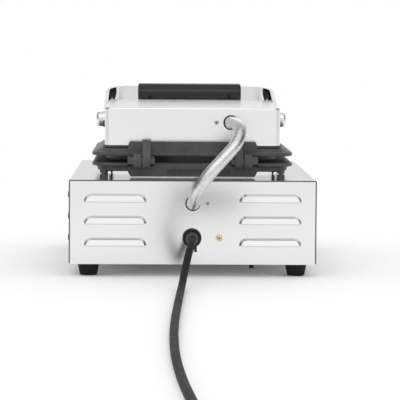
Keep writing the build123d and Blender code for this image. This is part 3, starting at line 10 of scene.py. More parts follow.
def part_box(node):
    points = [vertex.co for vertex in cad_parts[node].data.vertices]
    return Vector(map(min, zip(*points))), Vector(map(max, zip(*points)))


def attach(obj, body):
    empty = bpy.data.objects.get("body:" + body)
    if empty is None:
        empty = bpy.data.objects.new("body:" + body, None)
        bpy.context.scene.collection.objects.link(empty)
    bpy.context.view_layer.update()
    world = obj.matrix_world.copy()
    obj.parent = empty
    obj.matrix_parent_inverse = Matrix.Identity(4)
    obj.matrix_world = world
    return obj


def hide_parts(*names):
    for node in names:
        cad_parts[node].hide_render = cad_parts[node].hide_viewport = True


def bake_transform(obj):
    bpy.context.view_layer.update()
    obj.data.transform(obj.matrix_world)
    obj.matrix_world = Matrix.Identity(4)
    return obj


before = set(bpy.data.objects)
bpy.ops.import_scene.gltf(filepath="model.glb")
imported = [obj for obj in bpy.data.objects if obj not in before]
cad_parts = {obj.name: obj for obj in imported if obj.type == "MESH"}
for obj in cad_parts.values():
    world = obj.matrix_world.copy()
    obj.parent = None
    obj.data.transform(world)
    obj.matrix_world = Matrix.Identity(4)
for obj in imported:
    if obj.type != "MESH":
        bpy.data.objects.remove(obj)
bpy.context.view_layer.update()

bl_info = {
    "name": "Heart waffle maker",
    "version": (1, 0, 0),
    "blender": (4, 5, 0),
    "location": "3D View > Sidebar > Waffle",
    "description": "Finishes, hose, cord, dial marks and studio of a heart waffle maker",
    "category": "Object",
}

mm = 0.001

# Levels and depths of the frame, in metres
base_rear = 0.188
base_top = 0.1195


def place(x, depth, rise):
    """Point at x, a depth forward of the base's rear and a rise above its top, all in mm."""
    return Vector((x * mm, base_rear - depth * mm, base_top + rise * mm))


# Ways as seen from behind the appliance
rear_across = Vector((-1, 0, 0))
upward = Vector((0, 0, 1))

# Painted shade lines along the open edges of the rear louvres, and the painted highlight on the outermost
# part of their pressings, in metres
louvre_spot = 0.0955
louvre_lowest = 0.0381
louvre_pitch = 0.0271
louvre_rows = 3
shade_line_length = 0.0706
shade_line_width = 0.0005
shade_line_height = 0.00005
louvre_crest = 0.0003

# Depth of the dark, dull band where the base's cover was cut, in metres; the dull finish is the cut's
# own, and its darkness is also painted shade of the seam there
cut_and_seam_depth = 0.00025

# Way of the cord as (x, depth, height above the floor), in mm
gland_tip = (1, -26, 48.5)
coil_height = 6.2
cord_route = [
    gland_tip,
    (1, -52, 48.5),
    (6.2, -80, 38),
    (11, -108, 20),
    (14.4, -138, 8.2),
    (16.4, -172, 4.9),
    (18.9, -232, 4.7),
    (21.5, -304, 4.8),
    (24.9, -400, 4.7),
    (27.2, -518, 4.8),
    (26.6, -645, 4.7),
    (21.5, -775, 4.8),
    (12.8, -904, coil_height),
    (3, -1028, coil_height),
]

# The coil spirals in, climbs a layer in the half turn where it reverses, and spirals out.
# Its pitch is in metres, and where it climbs and reverses is in quarter turns.
coil_pitch = 0.0098
coil_layer_turns = 1.25
coil_climb_start = 5
coil_reversal = 6
coil_turn_points = 12

# First stretch past the coil in metres, and the whole straight end in diameters of the cord
coil_exit = 0.012
straight_end = 3

# Way of the hose as (x, depth, rise), in mm, from inside the base to inside the lid
hose_route = [
    (0, 6, -28.6),
    (0, -14, -28.6),
    (-2.5, -29, -19.5),
    (-9, -38, -3),
    (-22, -37, 14),
    (-38, -30, 30),
    (-52, -22, 45),
    (-58, -9, 59),
    (-56, 10, 68),
    (-48.6, 30, 69.2),
    (-47.8, 58, 69),
]

# Depth of the hose's groove and step of its rings in metres, and half the groove's width
# as a share of one winding
hose_groove = 0.00018
hose_step = 0.0006
hose_groove_share = 0.22
hose_sides = 40

# Thickness of the marks of the dials and of the crosses on screws, in metres
mark_height = 0.00006

# Length of the cross on a screw in metres, and its arm's width as a share of that
recess_length = 0.0036
recess_arm = 0.24

# Marks of the dials, in metres
long_tick = 0.0028
short_tick = 0.0016
tick_width = 0.0005
tick_gap = 0.0012
number_gap = 0.0078
number_size = 0.0052
pointer_rise = 0.0128
pointer_length = 0.008
pointer_width = 0.0012

# Numbers of each dial by their angle in degrees, clockwise from its top, and the step of
# its ticks in degrees
dial_scales = {
    "thermostat": ({45 * step: str(50 * step) for step in range(7)}, 9),
    "timer": ({60 * step: str(step) for step in range(6)}, 12),
}

# Range that holds most of a noise's values
noise_low = 0.3
noise_high = 0.7

# Floor, in metres: reach from its middle, drop below the feet, and where it turns white
floor_reach = 30
floor_drop = 0.0003
floor_fade = (0.5, 1.6)

# What gloss mirrors: how far a way points to the rear or front, overhead and upwards as it
# brightens, the least share that is left near the floor, and its strength
side_fade = (0.25, 0.85)
overhead_way = (0.0, 0.5, 0.866)
overhead_fade = (0.5, 0.78)
rise_fade = (0.02, 0.35)
rise_least = 0.86
mirrored_strength = 1.1

# Lamps as name, place, size and share of the key light, and the point they aim at
lamp_rows = [
    ("rear_lamp", (0.0, 1.6, 1.75), (2.0, 0.7), 1.0),
    ("front_lamp", (-0.3, -1.7, 1.4), (1.6, 0.7), 0.7),
]
lamp_aim = Vector((0, 0, 0.12))

# Turns of the camera in degrees
look_down = 4.61
look_aside = 1.2
camera_roll = -0.36


# Sizes and colours that a user would change

class WaffleSheetSettings(bpy.types.PropertyGroup):
    colour: bpy.props.FloatVectorProperty(
        name="Sheet colour", description="Colour of the stainless sheet",
        subtype="COLOR", default=(0.81, 0.81, 0.815), min=0, max=1,
    )
    roughness: bpy.props.FloatProperty(
        name="Roughness", description="How dull the brushed sheet is", default=0.12, min=0, max=1,
    )
    lid_roughness: bpy.props.FloatProperty(
        name="Lid roughness", description="How dull the lid's sheet is", default=0.24, min=0, max=1,
    )
    grain: bpy.props.FloatProperty(
        name="Grain", description="Strength of the brushed grain", default=0.05, min=0, max=1,
    )


class WaffleCastingSettings(bpy.types.PropertyGroup):
    colour: bpy.props.FloatVectorProperty(
        name="Coating colour", description="Colour of the coated castings",
        subtype="COLOR", default=(0.07, 0.07, 0.072), min=0, max=1,
    )
    bolt_colour: bpy.props.FloatVectorProperty(
        name="Bolt colour", description="Colour of hinge bolts, nuts and studs",
        subtype="COLOR", default=(0.10, 0.10, 0.103), min=0, max=1,
    )


class WaffleHandleSettings(bpy.types.PropertyGroup):
    chrome: bpy.props.FloatVectorProperty(
        name="Chrome colour", description="Colour of the plated strap and caps",
        subtype="COLOR", default=(0.80, 0.80, 0.81), min=0, max=1,
    )
    grip: bpy.props.FloatVectorProperty(
        name="Grip colour", description="Colour of the plastic grip",
        subtype="COLOR", default=(0.010, 0.010, 0.011), min=0, max=1,
    )


class WaffleHoseSettings(bpy.types.PropertyGroup):
    diameter: bpy.props.FloatProperty(
        name="Diameter", description="Outside diameter of the hose",
        subtype="DISTANCE", unit="LENGTH", default=0.0158, min=0.008, max=0.03,
    )
    pitch: bpy.props.FloatProperty(
        name="Winding pitch", description="Step of the winding along the hose",
        subtype="DISTANCE", unit="LENGTH", default=0.0022, min=0.001, max=0.01,
    )
    colour: bpy.props.FloatVectorProperty(
        name="Hose colour", description="Colour of the steel hose",
        subtype="COLOR", default=(0.74, 0.74, 0.745), min=0, max=1,
    )


class WaffleCordSettings(bpy.types.PropertyGroup):
    diameter: bpy.props.FloatProperty(
        name="Diameter", description="Outside diameter of the cord",
        subtype="DISTANCE", unit="LENGTH", default=0.009, min=0.004, max=0.02,
    )
    colour: bpy.props.FloatVectorProperty(
        name="Rubber colour", description="Colour of cord and plug",
        subtype="COLOR", default=(0.012, 0.012, 0.013), min=0, max=1,
    )
    coil_radius: bpy.props.FloatProperty(
        name="Coil radius", description="Radius of the coil at the middle of its turns",
        subtype="DISTANCE", unit="LENGTH", default=0.045, min=0.03, max=0.1,
    )


class WaffleDialSettings(bpy.types.PropertyGroup):
    ink: bpy.props.FloatVectorProperty(
        name="Scale colour", description="Colour of the ticks and numbers round the knobs",
        subtype="COLOR", default=(0.03, 0.03, 0.032), min=0, max=1,
    )


class WaffleStageSettings(bpy.types.PropertyGroup):
    focal: bpy.props.FloatProperty(
        name="Focal length", description="Focal length on a 36 mm sensor",
        subtype="DISTANCE_CAMERA", default=176.0, min=20, max=400,
    )
    distance: bpy.props.FloatProperty(
        name="Distance", description="Camera's distance behind the base's rear",
        subtype="DISTANCE", unit="LENGTH", default=2.395, min=0.5, max=10,
    )
    height: bpy.props.FloatProperty(
        name="Height", description="Camera's height above the floor",
        subtype="DISTANCE", unit="LENGTH", default=0.2885, min=0, max=3,
    )
    aside: bpy.props.FloatProperty(
        name="Aside", description="Camera's distance beside the middle plane",
        subtype="DISTANCE", unit="LENGTH", default=0.0427, min=-1, max=1,
    )
    key: bpy.props.FloatProperty(
        name="Key light", description="Strength of the lamp behind; the one in front has a share of it",
        subtype="POWER", default=4.4, min=0, max=200,
    )
    fill: bpy.props.FloatProperty(
        name="Fill", description="Strength of the world's light", default=0.93, min=0, max=3,
    )
    dark_side: bpy.props.FloatProperty(
        name="Dark side", description="Brightness that glossy parts mirror from the sides",
        default=0.16, min=0, max=1,
    )


# Materials

def start_material(name, colour, metallic, roughness):
    """Material with one shader, and its node tree and shader node."""
    material = bpy.data.materials.new(name)
    material.use_nodes = True
    tree = material.node_tree
    shader = tree.nodes["Principled BSDF"]
    shader.inputs["Base Color"].default_value = (*colour, 1)
    shader.inputs["Metallic"].default_value = metallic
    shader.inputs["Roughness"].default_value = roughness
    return material, tree, shader


def object_noise(tree, scale, stretch=(1, 1, 1), detail=3.0, roughness=0.5):
    """Noise over the frame's coordinates, stretched along its axes."""
    where = tree.nodes.new("ShaderNodeTexCoord")
    fit = tree.nodes.new("ShaderNodeMapping")
    fit.inputs["Scale"].default_value = stretch
    noise = tree.nodes.new("ShaderNodeTexNoise")
    noise.inputs["Scale"].default_value = scale
    noise.inputs["Detail"].default_value = detail
    noise.inputs["Roughness"].default_value = roughness
    tree.links.new(where.outputs["Object"], fit.inputs["Vector"])
    tree.links.new(fit.outputs["Vector"], noise.inputs["Vector"])
    return noise.outputs["Fac"]


def calculate(tree, operation, *values):
    """Result of a calculation on plain numbers and outputs of other nodes."""
    node = tree.nodes.new("ShaderNodeMath")
    node.operation = operation
    for socket, value in zip(node.inputs, values):
        if isinstance(value, bpy.types.NodeSocket):
            tree.links.new(value, socket)
        else:
            socket.default_value = value
    return node.outputs["Value"]


def frame_depth(tree):
    """Place of a point along the frame's Y."""
    where = tree.nodes.new("ShaderNodeTexCoord")
    split = tree.nodes.new("ShaderNodeSeparateXYZ")
    tree.links.new(where.outputs["Object"], split.inputs["Vector"])
    return split.outputs["Y"]


def spread(tree, noise, low, high):
    """Noise spread over a range."""
    fit = tree.nodes.new("ShaderNodeMapRange")
    fit.inputs["From Min"].default_value = noise_low
    fit.inputs["From Max"].default_value = noise_high
    fit.inputs["To Min"].default_value = low
    fit.inputs["To Max"].default_value = high
    tree.links.new(noise, fit.inputs["Value"])
    return fit.outputs["Result"]


def vary_colour(tree, shader, noise, dark, light, most=1):
    """Vary the shader's colour by noise, from one colour up to a share of another."""
    mix = tree.nodes.new("ShaderNodeMix")
    mix.data_type = "RGBA"
    mix.inputs["A"].default_value = (*dark, 1)
    mix.inputs["B"].default_value = (*light, 1)
    tree.links.new(spread(tree, noise, 0, most), mix.inputs["Factor"])
    tree.links.new(mix.outputs["Result"], shader.inputs["Base Color"])


def vary_roughness(tree, shader, noise, low, high):
    """Vary the shader's roughness by noise."""
    tree.links.new(spread(tree, noise, low, high), shader.inputs["Roughness"])


def overlay(tree, shader, socket, mask, value):
    """Give the shader's linked colour or number another value where a mask is 1."""
    before = shader.inputs[socket].links[0].from_socket
    mix = tree.nodes.new("ShaderNodeMix")
    mix.data_type = "RGBA" if socket == "Base Color" else "FLOAT"
    mix.inputs["B"].default_value = value
    tree.links.new(mask, mix.inputs["Factor"])
    tree.links.new(before, mix.inputs["A"])
    tree.links.new(mix.outputs["Result"], shader.inputs[socket])


def mixed_shaders(tree, factor, first, second):
    """Output of two shaders mixed by a factor."""
    mix = tree.nodes.new("ShaderNodeMixShader")
    tree.links.new(factor, mix.inputs["Fac"])
    tree.links.new(first, mix.inputs[1])
    tree.links.new(second, mix.inputs[2])
    return mix.outputs["Shader"]


def add_bump(tree, shader, height, strength, distance):
    """Fine relief on the shader from a height value."""
    bump = tree.nodes.new("ShaderNodeBump")
    bump.inputs["Strength"].default_value = strength
    bump.inputs["Distance"].default_value = distance
    tree.links.new(height, bump.inputs["Height"])
    tree.links.new(bump.outputs["Normal"], shader.inputs["Normal"])


def shade(colour, factor):
    """Colour made darker or lighter."""
    return tuple(min(1.0, part * factor) for part in colour)


def brushed_sheet(name, colour, roughness, grain):
    """Stainless sheet brushed along its level direction, upright faces and top alike."""
    material, tree, shader = start_material(name, colour, 1.0, roughness)
    along = 14
    across = 2600
    cloud_share = 0.35
    upright = object_noise(tree, 1.0, (along, along, across), detail=4.0, roughness=0.65)
    flat = object_noise(tree, 1.0, (along, across, along), detail=4.0, roughness=0.65)
    geometry = tree.nodes.new("ShaderNodeNewGeometry")
    split = tree.nodes.new("ShaderNodeSeparateXYZ")
    tree.links.new(geometry.outputs["Normal"], split.inputs["Vector"])
    choose = tree.nodes.new("ShaderNodeMix")
    choose.data_type = "FLOAT"
    tree.links.new(calculate(tree, "ABSOLUTE", split.outputs["Z"]), choose.inputs["Factor"])
    tree.links.new(upright, choose.inputs["A"])
    tree.links.new(flat, choose.inputs["B"])
    lines = choose.outputs["Result"]
    cloud = object_noise(tree, 9.0, (1, 1, 1.6), detail=2.0, roughness=0.4)
    clouded = calculate(tree, "MULTIPLY_ADD", cloud, cloud_share, lines)
    vary_roughness(tree, shader, lines, roughness * 0.86, roughness * 1.2)
    vary_colour(tree, shader, clouded, shade(colour, 0.965), shade(colour, 1.02), most=0.8)
    add_bump(tree, shader, lines, strength=grain, distance=0.00005)
    return material


def dull_cut_edges(material, front, rear):
    """Darken and dull a sheet where it was cut, at its first and last Y; the dark colour is also painted
    shade of the seam there.
    """
    tree = material.node_tree
    shader = tree.nodes["Principled BSDF"]
    from_middle = calculate(tree, "SUBTRACT", frame_depth(tree), (front + rear) / 2)
    distance = calculate(tree, "ABSOLUTE", from_middle)
    cut = calculate(tree, "GREATER_THAN", distance, (rear - front) / 2 - cut_and_seam_depth)
    # Painted shade: the near-black colour also stands in for the shade in the seam beside the cut edge
    overlay(tree, shader, "Base Color", cut, (0.16, 0.16, 0.16, 1))
    overlay(tree, shader, "Roughness", cut, 0.5)


def polish_past(material, level, colour):
    """Painted highlight: lighter sheet where a pressing stands proud of a level in Y."""
    tree = material.node_tree
    proud = calculate(tree, "GREATER_THAN", frame_depth(tree), level)
    overlay(tree, tree.nodes["Principled BSDF"], "Base Color", proud, (*colour, 1))


def coated_casting(name, colour):
    """Dark satin coating over the fine grain of a casting, a little worn."""
    material, tree, shader = start_material(name, colour, 0.0, 0.34)
    shader.inputs["Specular IOR Level"].default_value = 0.25
    grain = object_noise(tree, 1500.0, detail=3.0)
    patches = object_noise(tree, 38.0, detail=4.0, roughness=0.6)
    vary_colour(tree, shader, patches, shade(colour, 0.8), shade(colour, 1.35))
    vary_roughness(tree, shader, patches, 0.3, 0.42)
    add_bump(tree, shader, grain, strength=0.25, distance=0.00012)
    return material


def plated_steel(name, colour, roughness):
    """Plated small parts with slight blotches."""
    material, tree, shader = start_material(name, colour, 1.0, roughness)
    blotches = object_noise(tree, 260.0, detail=3.0)
    vary_colour(tree, shader, blotches, shade(colour, 0.86), shade(colour, 1.08))
    vary_roughness(tree, shader, blotches, roughness * 0.8, roughness * 1.3)
    return material


def bright_chrome(name, colour):
    """Bright plating with faint finger marks."""
    material, tree, shader = start_material(name, colour, 1.0, 0.06)
    marks = object_noise(tree, 55.0, detail=2.0)
    vary_roughness(tree, shader, marks, 0.04, 0.10)
    return material


def moulded_plastic(name, colour, roughness=0.42, grain=0.2):
    """Heat-proof plastic with a fine moulded grain."""
    material, tree, shader = start_material(name, colour, 0.0, roughness)
    shader.inputs["Specular IOR Level"].default_value = 0.35
    fine = object_noise(tree, 2600.0, detail=2.0)
    broad = object_noise(tree, 45.0, detail=2.0)
    vary_roughness(tree, shader, broad, roughness * 0.9, roughness * 1.15)
    vary_colour(tree, shader, broad, shade(colour, 0.9), shade(colour, 1.15))
    add_bump(tree, shader, fine, strength=grain, distance=0.00005)
    return material


def dull_rubber(name, colour):
    """Matt rubber with a faint bloom."""
    material, tree, shader = start_material(name, colour, 0.0, 0.6)
    shader.inputs["Specular IOR Level"].default_value = 0.22
    bloom = object_noise(tree, 70.0, detail=4.0, roughness=0.65)
    fine = object_noise(tree, 1800.0, detail=2.0)
    vary_colour(tree, shader, bloom, shade(colour, 0.85), shade(colour, 1.3))
    vary_roughness(tree, shader, bloom, 0.52, 0.7)
    add_bump(tree, shader, fine, strength=0.25, distance=0.00006)
    return material


def coloured_lens(name, colour):
    """Coloured lamp lens, half clear."""
    material, tree, shader = start_material(name, colour, 0.0, 0.12)
    shader.inputs["Transmission Weight"].default_value = 0.55
    shader.inputs["IOR"].default_value = 1.49
    depth = object_noise(tree, 420.0, detail=1.0)
    vary_colour(tree, shader, depth, shade(colour, 0.8), shade(colour, 1.2))
    return material


def pale_ceramic(name, colour):
    """Unglazed ceramic."""
    material, tree, shader = start_material(name, colour, 0.0, 0.7)
    specks = object_noise(tree, 900.0, detail=3.0)
    vary_colour(tree, shader, specks, shade(colour, 0.92), colour)
    add_bump(tree, shader, specks, strength=0.2, distance=0.0001)
    return material


def heated_tube(name, colour):
    """Heating tube with a dull brownish heat tint."""
    material, tree, shader = start_material(name, colour, 0.8, 0.5)
    tint = object_noise(tree, 60.0, detail=3.0)
    brown = (0.34, 0.29, 0.24)
    vary_colour(tree, shader, tint, shade(colour, 0.7), brown)
    return material


def finish_nodes(material, names):
    """Give CAD nodes a finish."""
    for name in names:
        part = bpy.data.objects[name]
        part.data.materials.clear()
        part.data.materials.append(material)


def linked_mesh(name, mesh, material):
    """Object for a finished mesh."""
    piece = bpy.data.objects.new(name, mesh)
    bpy.context.scene.collection.objects.link(piece)
    mesh.materials.append(material)
    return piece


def box_corners(node):
    """Lowest and highest corner of a CAD node."""
    low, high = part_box(node)
    return Vector(low), Vector(high)


def flat_bar(build, middle, across, up, length, width, height):
    """Thin bevelled bar, its length along across and its height from middle along across x up."""
    out = across.cross(up)
    corners = []
    # Share of the height and share of the full size
    bevel_steps = ((0.0, 1.0), (0.7, 1.0), (1.0, 0.8))
    for level, shrink in bevel_steps:
        ring = []
        for along, aside in ((-1, -1), (1, -1), (1, 1), (-1, 1)):
            spot = across * (along * length / 2 * shrink) + up * (aside * width / 2 * shrink)
            ring.append(build.verts.new(middle + spot + out * (height * level)))
        corners.append(ring)
    for low, high in zip(corners, corners[1:]):
        for index in range(4):
            following = (index + 1) % 4
            build.faces.new((low[index], low[following], high[following], high[index]))
    build.faces.new(corners[-1])
    build.faces.new(reversed(corners[0]))


def built_piece(name, build, material):
    """Object from a finished bmesh."""
    bmesh.ops.recalc_face_normals(build, faces=build.faces)
    mesh = bpy.data.meshes.new(name)
    build.to_mesh(mesh)
    build.free()
    return linked_mesh(name, mesh, material)


def cross_recess(name, node, material, body):
    """Dark cross in the middle of the rear face of a screw."""
    low, high = box_corners(node)
    middle = (low + high) / 2
    middle.y = high.y
    build = bmesh.new()
    for first, second in ((rear_across, upward), (upward, -rear_across)):
        flat_bar(build, middle, first, second, recess_length, recess_length * recess_arm, mark_height)
    piece = built_piece(name, build, material)
    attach(piece, body)


def mesh_of(name, curve):
    """Mesh of a curve or text, which is removed."""
    holder = bpy.data.objects.new(name, curve)
    bpy.context.scene.collection.objects.link(holder)
    bpy.context.view_layer.update()
    finished = holder.evaluated_get(bpy.context.evaluated_depsgraph_get())
    mesh = bpy.data.meshes.new_from_object(finished)
    bpy.data.objects.remove(holder)
    bpy.data.curves.remove(curve)
    return mesh


def number_mesh(text):
    """Mesh of a number, flat on XY and centred."""
    curve = bpy.data.curves.new(text, "FONT")
    curve.body = text
    curve.size = number_size
    curve.align_x = "CENTER"
    curve.align_y = "CENTER"
    curve.extrude = mark_height
    curve.resolution_u = 4
    return mesh_of(text, curve)


def spline_curve(name, points):
    """Smooth open curve with the given control points."""
    curve = bpy.data.curves.new(name, "CURVE")
    curve.dimensions = "3D"
    spline = curve.splines.new("NURBS")
    spline.points.add(len(points) - 1)
    for slot, point in zip(spline.points, points):
        slot.co = (*point, 1)
    spline.order_u = 3
    spline.use_endpoint_u = True
    spline.resolution_u = 10
    curve.use_fill_caps = True
    return curve


def followed_points(name, points):
    """Points along the smooth curve with the given control points."""
    line = mesh_of(name, spline_curve(name, points))
    found = [vertex.co.copy() for vertex in line.vertices]
    bpy.data.meshes.remove(line)
    return found


def walk(points, step):
    """Evenly spaced points along a line."""
    lengths = [0.0]
    for before, after in zip(points, points[1:]):
        lengths.append(lengths[-1] + (after - before).length)
    total = lengths[-1]
    count = max(2, round(total / step))
    spaced = []
    at = 0
    for index in range(count + 1):
        wanted = total * index / count
        while at < len(points) - 2 and lengths[at + 1] < wanted:
            at += 1
        share = (wanted - lengths[at]) / max(lengths[at + 1] - lengths[at], 1e-9)
        spaced.append(points[at].lerp(points[at + 1], min(share, 1)))
    return spaced


def tube_mesh(name, points, radius_at, sides):
    """Tube with a radius that may change along and round it, capped at both ends."""
    build = bmesh.new()
    side = Vector((1, 0, 0))
    rings = []
    travelled = 0.0
    for index, point in enumerate(points):
        ahead = points[min(index + 1, len(points) - 1)] - points[max(index - 1, 0)]
        ahead.normalize()
        side = (side - ahead * side.dot(ahead)).normalized()
        other = ahead.cross(side)
        if index:
            travelled += (point - points[index - 1]).length
        ring = []
        for corner in range(sides):
            angle = 2 * math.pi * corner / sides
            outward = side * math.cos(angle) + other * math.sin(angle)
            ring.append(build.verts.new(point + outward * radius_at(travelled, angle)))
        rings.append(ring)
    for before, after in zip(rings, rings[1:]):
        for corner in range(sides):
            following = (corner + 1) % sides
            build.faces.new((before[corner], before[following], after[following], after[corner]))
    build.faces.new(reversed(rings[0]))
    build.faces.new(rings[-1])
    mesh = bpy.data.meshes.new(name)
    build.to_mesh(mesh)
    build.free()
    mesh.shade_smooth()
    return mesh


class WAFFLE_OT_sheet(bpy.types.Operator):
    """Finish the stainless sheet of base, lid and skirt"""

    bl_idname = "waffle.sheet"
    bl_label = "Steel sheet"

    def execute(self, context):
        settings = context.scene.waffle_sheet
        sheet = brushed_sheet("brushed_sheet", settings.colour, settings.roughness, settings.grain)
        finish_nodes(sheet, ["front_panel", "base_tray", "lower_skirt"])
        rear = brushed_sheet("rear_sheet", settings.colour, settings.roughness, settings.grain)
        # Painted highlight on the outermost part of the rear louvres
        lighter = shade(settings.colour, 1.09)
        polish_past(rear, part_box("rear_panel")[1][1] - louvre_crest, lighter)
        finish_nodes(rear, ["rear_panel"])
        self.louvre_edges()
        cover = brushed_sheet("cover_sheet", settings.colour, settings.roughness, settings.grain)
        low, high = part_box("base_cover")
        dull_cut_edges(cover, low[1], high[1])
        finish_nodes(cover, ["base_cover"])
        # Painted light: the lid gets a lighter copy of the same steel's colour
        lid_lit_colour = shade(settings.colour, 1.08)
        lid = brushed_sheet("lid_sheet", lid_lit_colour, settings.lid_roughness, settings.grain)
        finish_nodes(lid, ["lid_housing"])
        return {"FINISHED"}

    def louvre_edges(self):
        """Dark strip of painted shade along the mouth of each louvre of the rear panel."""
        # Painted shade: a dark strip stands in for the shade under each louvre's lip
        edge = plated_steel("louvre_mouth_shade", (0.35, 0.35, 0.35), 0.5)
        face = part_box("rear_panel")[1][1]
        build = bmesh.new()
        for side in (-1, 1):
            for row in range(louvre_rows):
                height = louvre_lowest + row * louvre_pitch + shade_line_width / 2
                middle = Vector((side * louvre_spot, face, height))
                flat_bar(
                    build, middle, rear_across, upward, shade_line_length, shade_line_width,
                    shade_line_height,
                )
        piece = built_piece("louvre_edges", build, edge)
        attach(piece, "base")


class WAFFLE_OT_castings(bpy.types.Operator):
    """Finish the two cast plates, the bolts of the hinge and the studs of the lower plate"""

    bl_idname = "waffle.castings"
    bl_label = "Cast plates and bolts"

    def execute(self, context):
        settings = context.scene.waffle_casting
        coating = coated_casting("plate_coating", settings.colour)
        finish_nodes(coating, ["lower_plate", "upper_plate"])
        dark_steel = plated_steel("dark_steel", settings.bolt_colour, 0.38)
        names = ["hinge_bolts", "hinge_washers", "hinge_nuts", "mount_studs", "mount_nuts"]
        finish_nodes(dark_steel, names)
        return {"FINISHED"}


class WAFFLE_OT_small_parts(bpy.types.Operator):
    """Finish screws, clamps, feet, gland, plug and the parts inside base and lid"""

    bl_idname = "waffle.small_parts"
    bl_label = "Small parts"

    def execute(self, context):
        zinc = plated_steel("zinc_plating", (0.62, 0.62, 0.61), 0.3)
        names = [
            "foot_screws", "tray_screws", "base_clamp_screw", "lid_clamp_screw", "gland_nut",
            "handle_brackets", "handle_studs", "base_conduit_clamp", "lid_conduit_clamp",
            "thermostat_shaft", "timer_shaft", "thermostat_bulb", "lower_element_cover",
            "upper_element_cover", "plug_pins",
        ]
        finish_nodes(zinc, names)
        brass = plated_steel("brass", (0.86, 0.74, 0.42), 0.3)
        finish_nodes(brass, ["earth_terminal"])
        rubber = dull_rubber("black_rubber", (0.008, 0.008, 0.0085))
        feet = ["foot_front_left", "foot_front_right", "foot_rear_left", "foot_rear_right", "tray_plug"]
        finish_nodes(rubber, feet)
        plastic = moulded_plastic("black_plastic", (0.010, 0.010, 0.011))
        names = [
            "cable_gland", "base_ferrule", "lid_ferrule", "lamp_bezels", "thermostat_body", "timer_body",
            "coil_tie", "plug_body",
        ]
        finish_nodes(plastic, names)
        tube = heated_tube("heated_tube", (0.2, 0.2, 0.2))
        finish_nodes(tube, ["lower_element", "upper_element"])
        finish_nodes(pale_ceramic("steatite", (0.82, 0.80, 0.73)), ["terminal_block"])
        finish_nodes(dull_rubber("wire_silicone", (0.6, 0.58, 0.54)), ["inner_wires"])
        return {"FINISHED"}


class WAFFLE_OT_handle(bpy.types.Operator):
    """Finish the strap, its caps and the grip"""

    bl_idname = "waffle.handle"
    bl_label = "Handle"

    def execute(self, context):
        settings = context.scene.waffle_handle
        chrome = bright_chrome("bright_chrome", settings.chrome)
        finish_nodes(chrome, ["handle_strap"])
        satin = plated_steel("satin_chrome", shade(settings.chrome, 1.08), 0.34)
        finish_nodes(satin, ["handle_cap_left", "handle_cap_right"])
        blackened = plated_steel("blackened_steel", (0.05, 0.05, 0.05), 0.45)
        finish_nodes(blackened, ["grip_screws"])
        grip = moulded_plastic("grip_plastic", settings.grip, 0.2, 0.05)
        grip_shader = grip.node_tree.nodes["Principled BSDF"]
        grip_shader.inputs["Specular IOR Level"].default_value = 0.45
        finish_nodes(grip, ["grip_front", "grip_rear"])
        return {"FINISHED"}


class WAFFLE_OT_screws(bpy.types.Operator):
    """Mark the cross recesses of the clamp screws and the earth terminal"""

    bl_idname = "waffle.screws"
    bl_label = "Screw recesses"

    def execute(self, context):
        recess = moulded_plastic("recess_shadow", (0.03, 0.03, 0.03), 0.6)
        cross_recess("base_clamp_recess", "base_clamp_screw", recess, "base")
        cross_recess("lid_clamp_recess", "lid_clamp_screw", recess, "lid")
        cross_recess("earth_recess", "earth_terminal", recess, "base")
        return {"FINISHED"}


class WAFFLE_OT_dials(bpy.types.Operator):
    """Finish the knobs and the lamps, and mark the dials"""

    bl_idname = "waffle.dials"
    bl_label = "Dials and lamps"

    def execute(self, context):
        settings = context.scene.waffle_dials
        plastic = moulded_plastic("knob_plastic", (0.012, 0.012, 0.013), 0.34, 0.1)
        finish_nodes(plastic, ["thermostat_knob", "timer_knob"])
        finish_nodes(coloured_lens("green_lens", (0.06, 0.55, 0.16)), ["power_lens"])
        finish_nodes(coloured_lens("orange_lens", (0.92, 0.34, 0.04)), ["heating_lens"])
        ink = moulded_plastic("dial_ink", settings.ink, 0.5, 0.05)
        paint = moulded_plastic("pointer_paint", (0.82, 0.82, 0.80), 0.5, 0.05)
        for dial, (numbers, tick_step) in dial_scales.items():
            self.scale(dial, numbers, tick_step, ink)
        for dial in dial_scales:
            self.pointer(dial, paint)
        return {"FINISHED"}

    def outward(self, angle):
        """Way out from a dial's middle at an angle in degrees, clockwise from its top."""
        turn = math.radians(angle)
        return Vector((math.sin(turn), 0, math.cos(turn)))

    def scale(self, dial, numbers, tick_step, ink):
        """Numbers round a knob, clockwise from its top, and ticks flush with the panel."""
        low, high = box_corners(dial + "_knob")
        middle = (low + high) / 2
        middle.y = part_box("front_panel")[0][1]
        knob = (high.x - low.x) / 2
        build = bmesh.new()
        for angle in range(0, max(numbers) + 1, tick_step):
            way = self.outward(angle)
            length = long_tick if angle in numbers else short_tick
            spot = middle + way * (knob + tick_gap + length / 2)
            flat_bar(build, spot, way, Vector((way.z, 0, -way.x)), length, tick_width, mark_height)
        for angle, text in numbers.items():
            spot = middle + self.outward(angle) * (knob + number_gap)
            mesh = number_mesh(text)
            mesh.transform(Matrix.Translation(spot) @ Matrix.Rotation(math.pi / 2, 4, "X"))
            build.from_mesh(mesh)
            bpy.data.meshes.remove(mesh)
        piece = built_piece(dial + "_scale", build, ink)
        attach(piece, "base")

    def pointer(self, dial, paint):
        """White line flush with the front of a knob's bar, at its top."""
        low, high = box_corners(dial + "_knob")
        middle = (low + high) / 2
        middle.y = low.y
        middle.z += pointer_rise
        build = bmesh.new()
        flat_bar(build, middle, upward, -rear_across, pointer_length, pointer_width, mark_height)
        piece = built_piece(dial + "_pointer", build, paint)
        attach(piece, dial + "_dial")


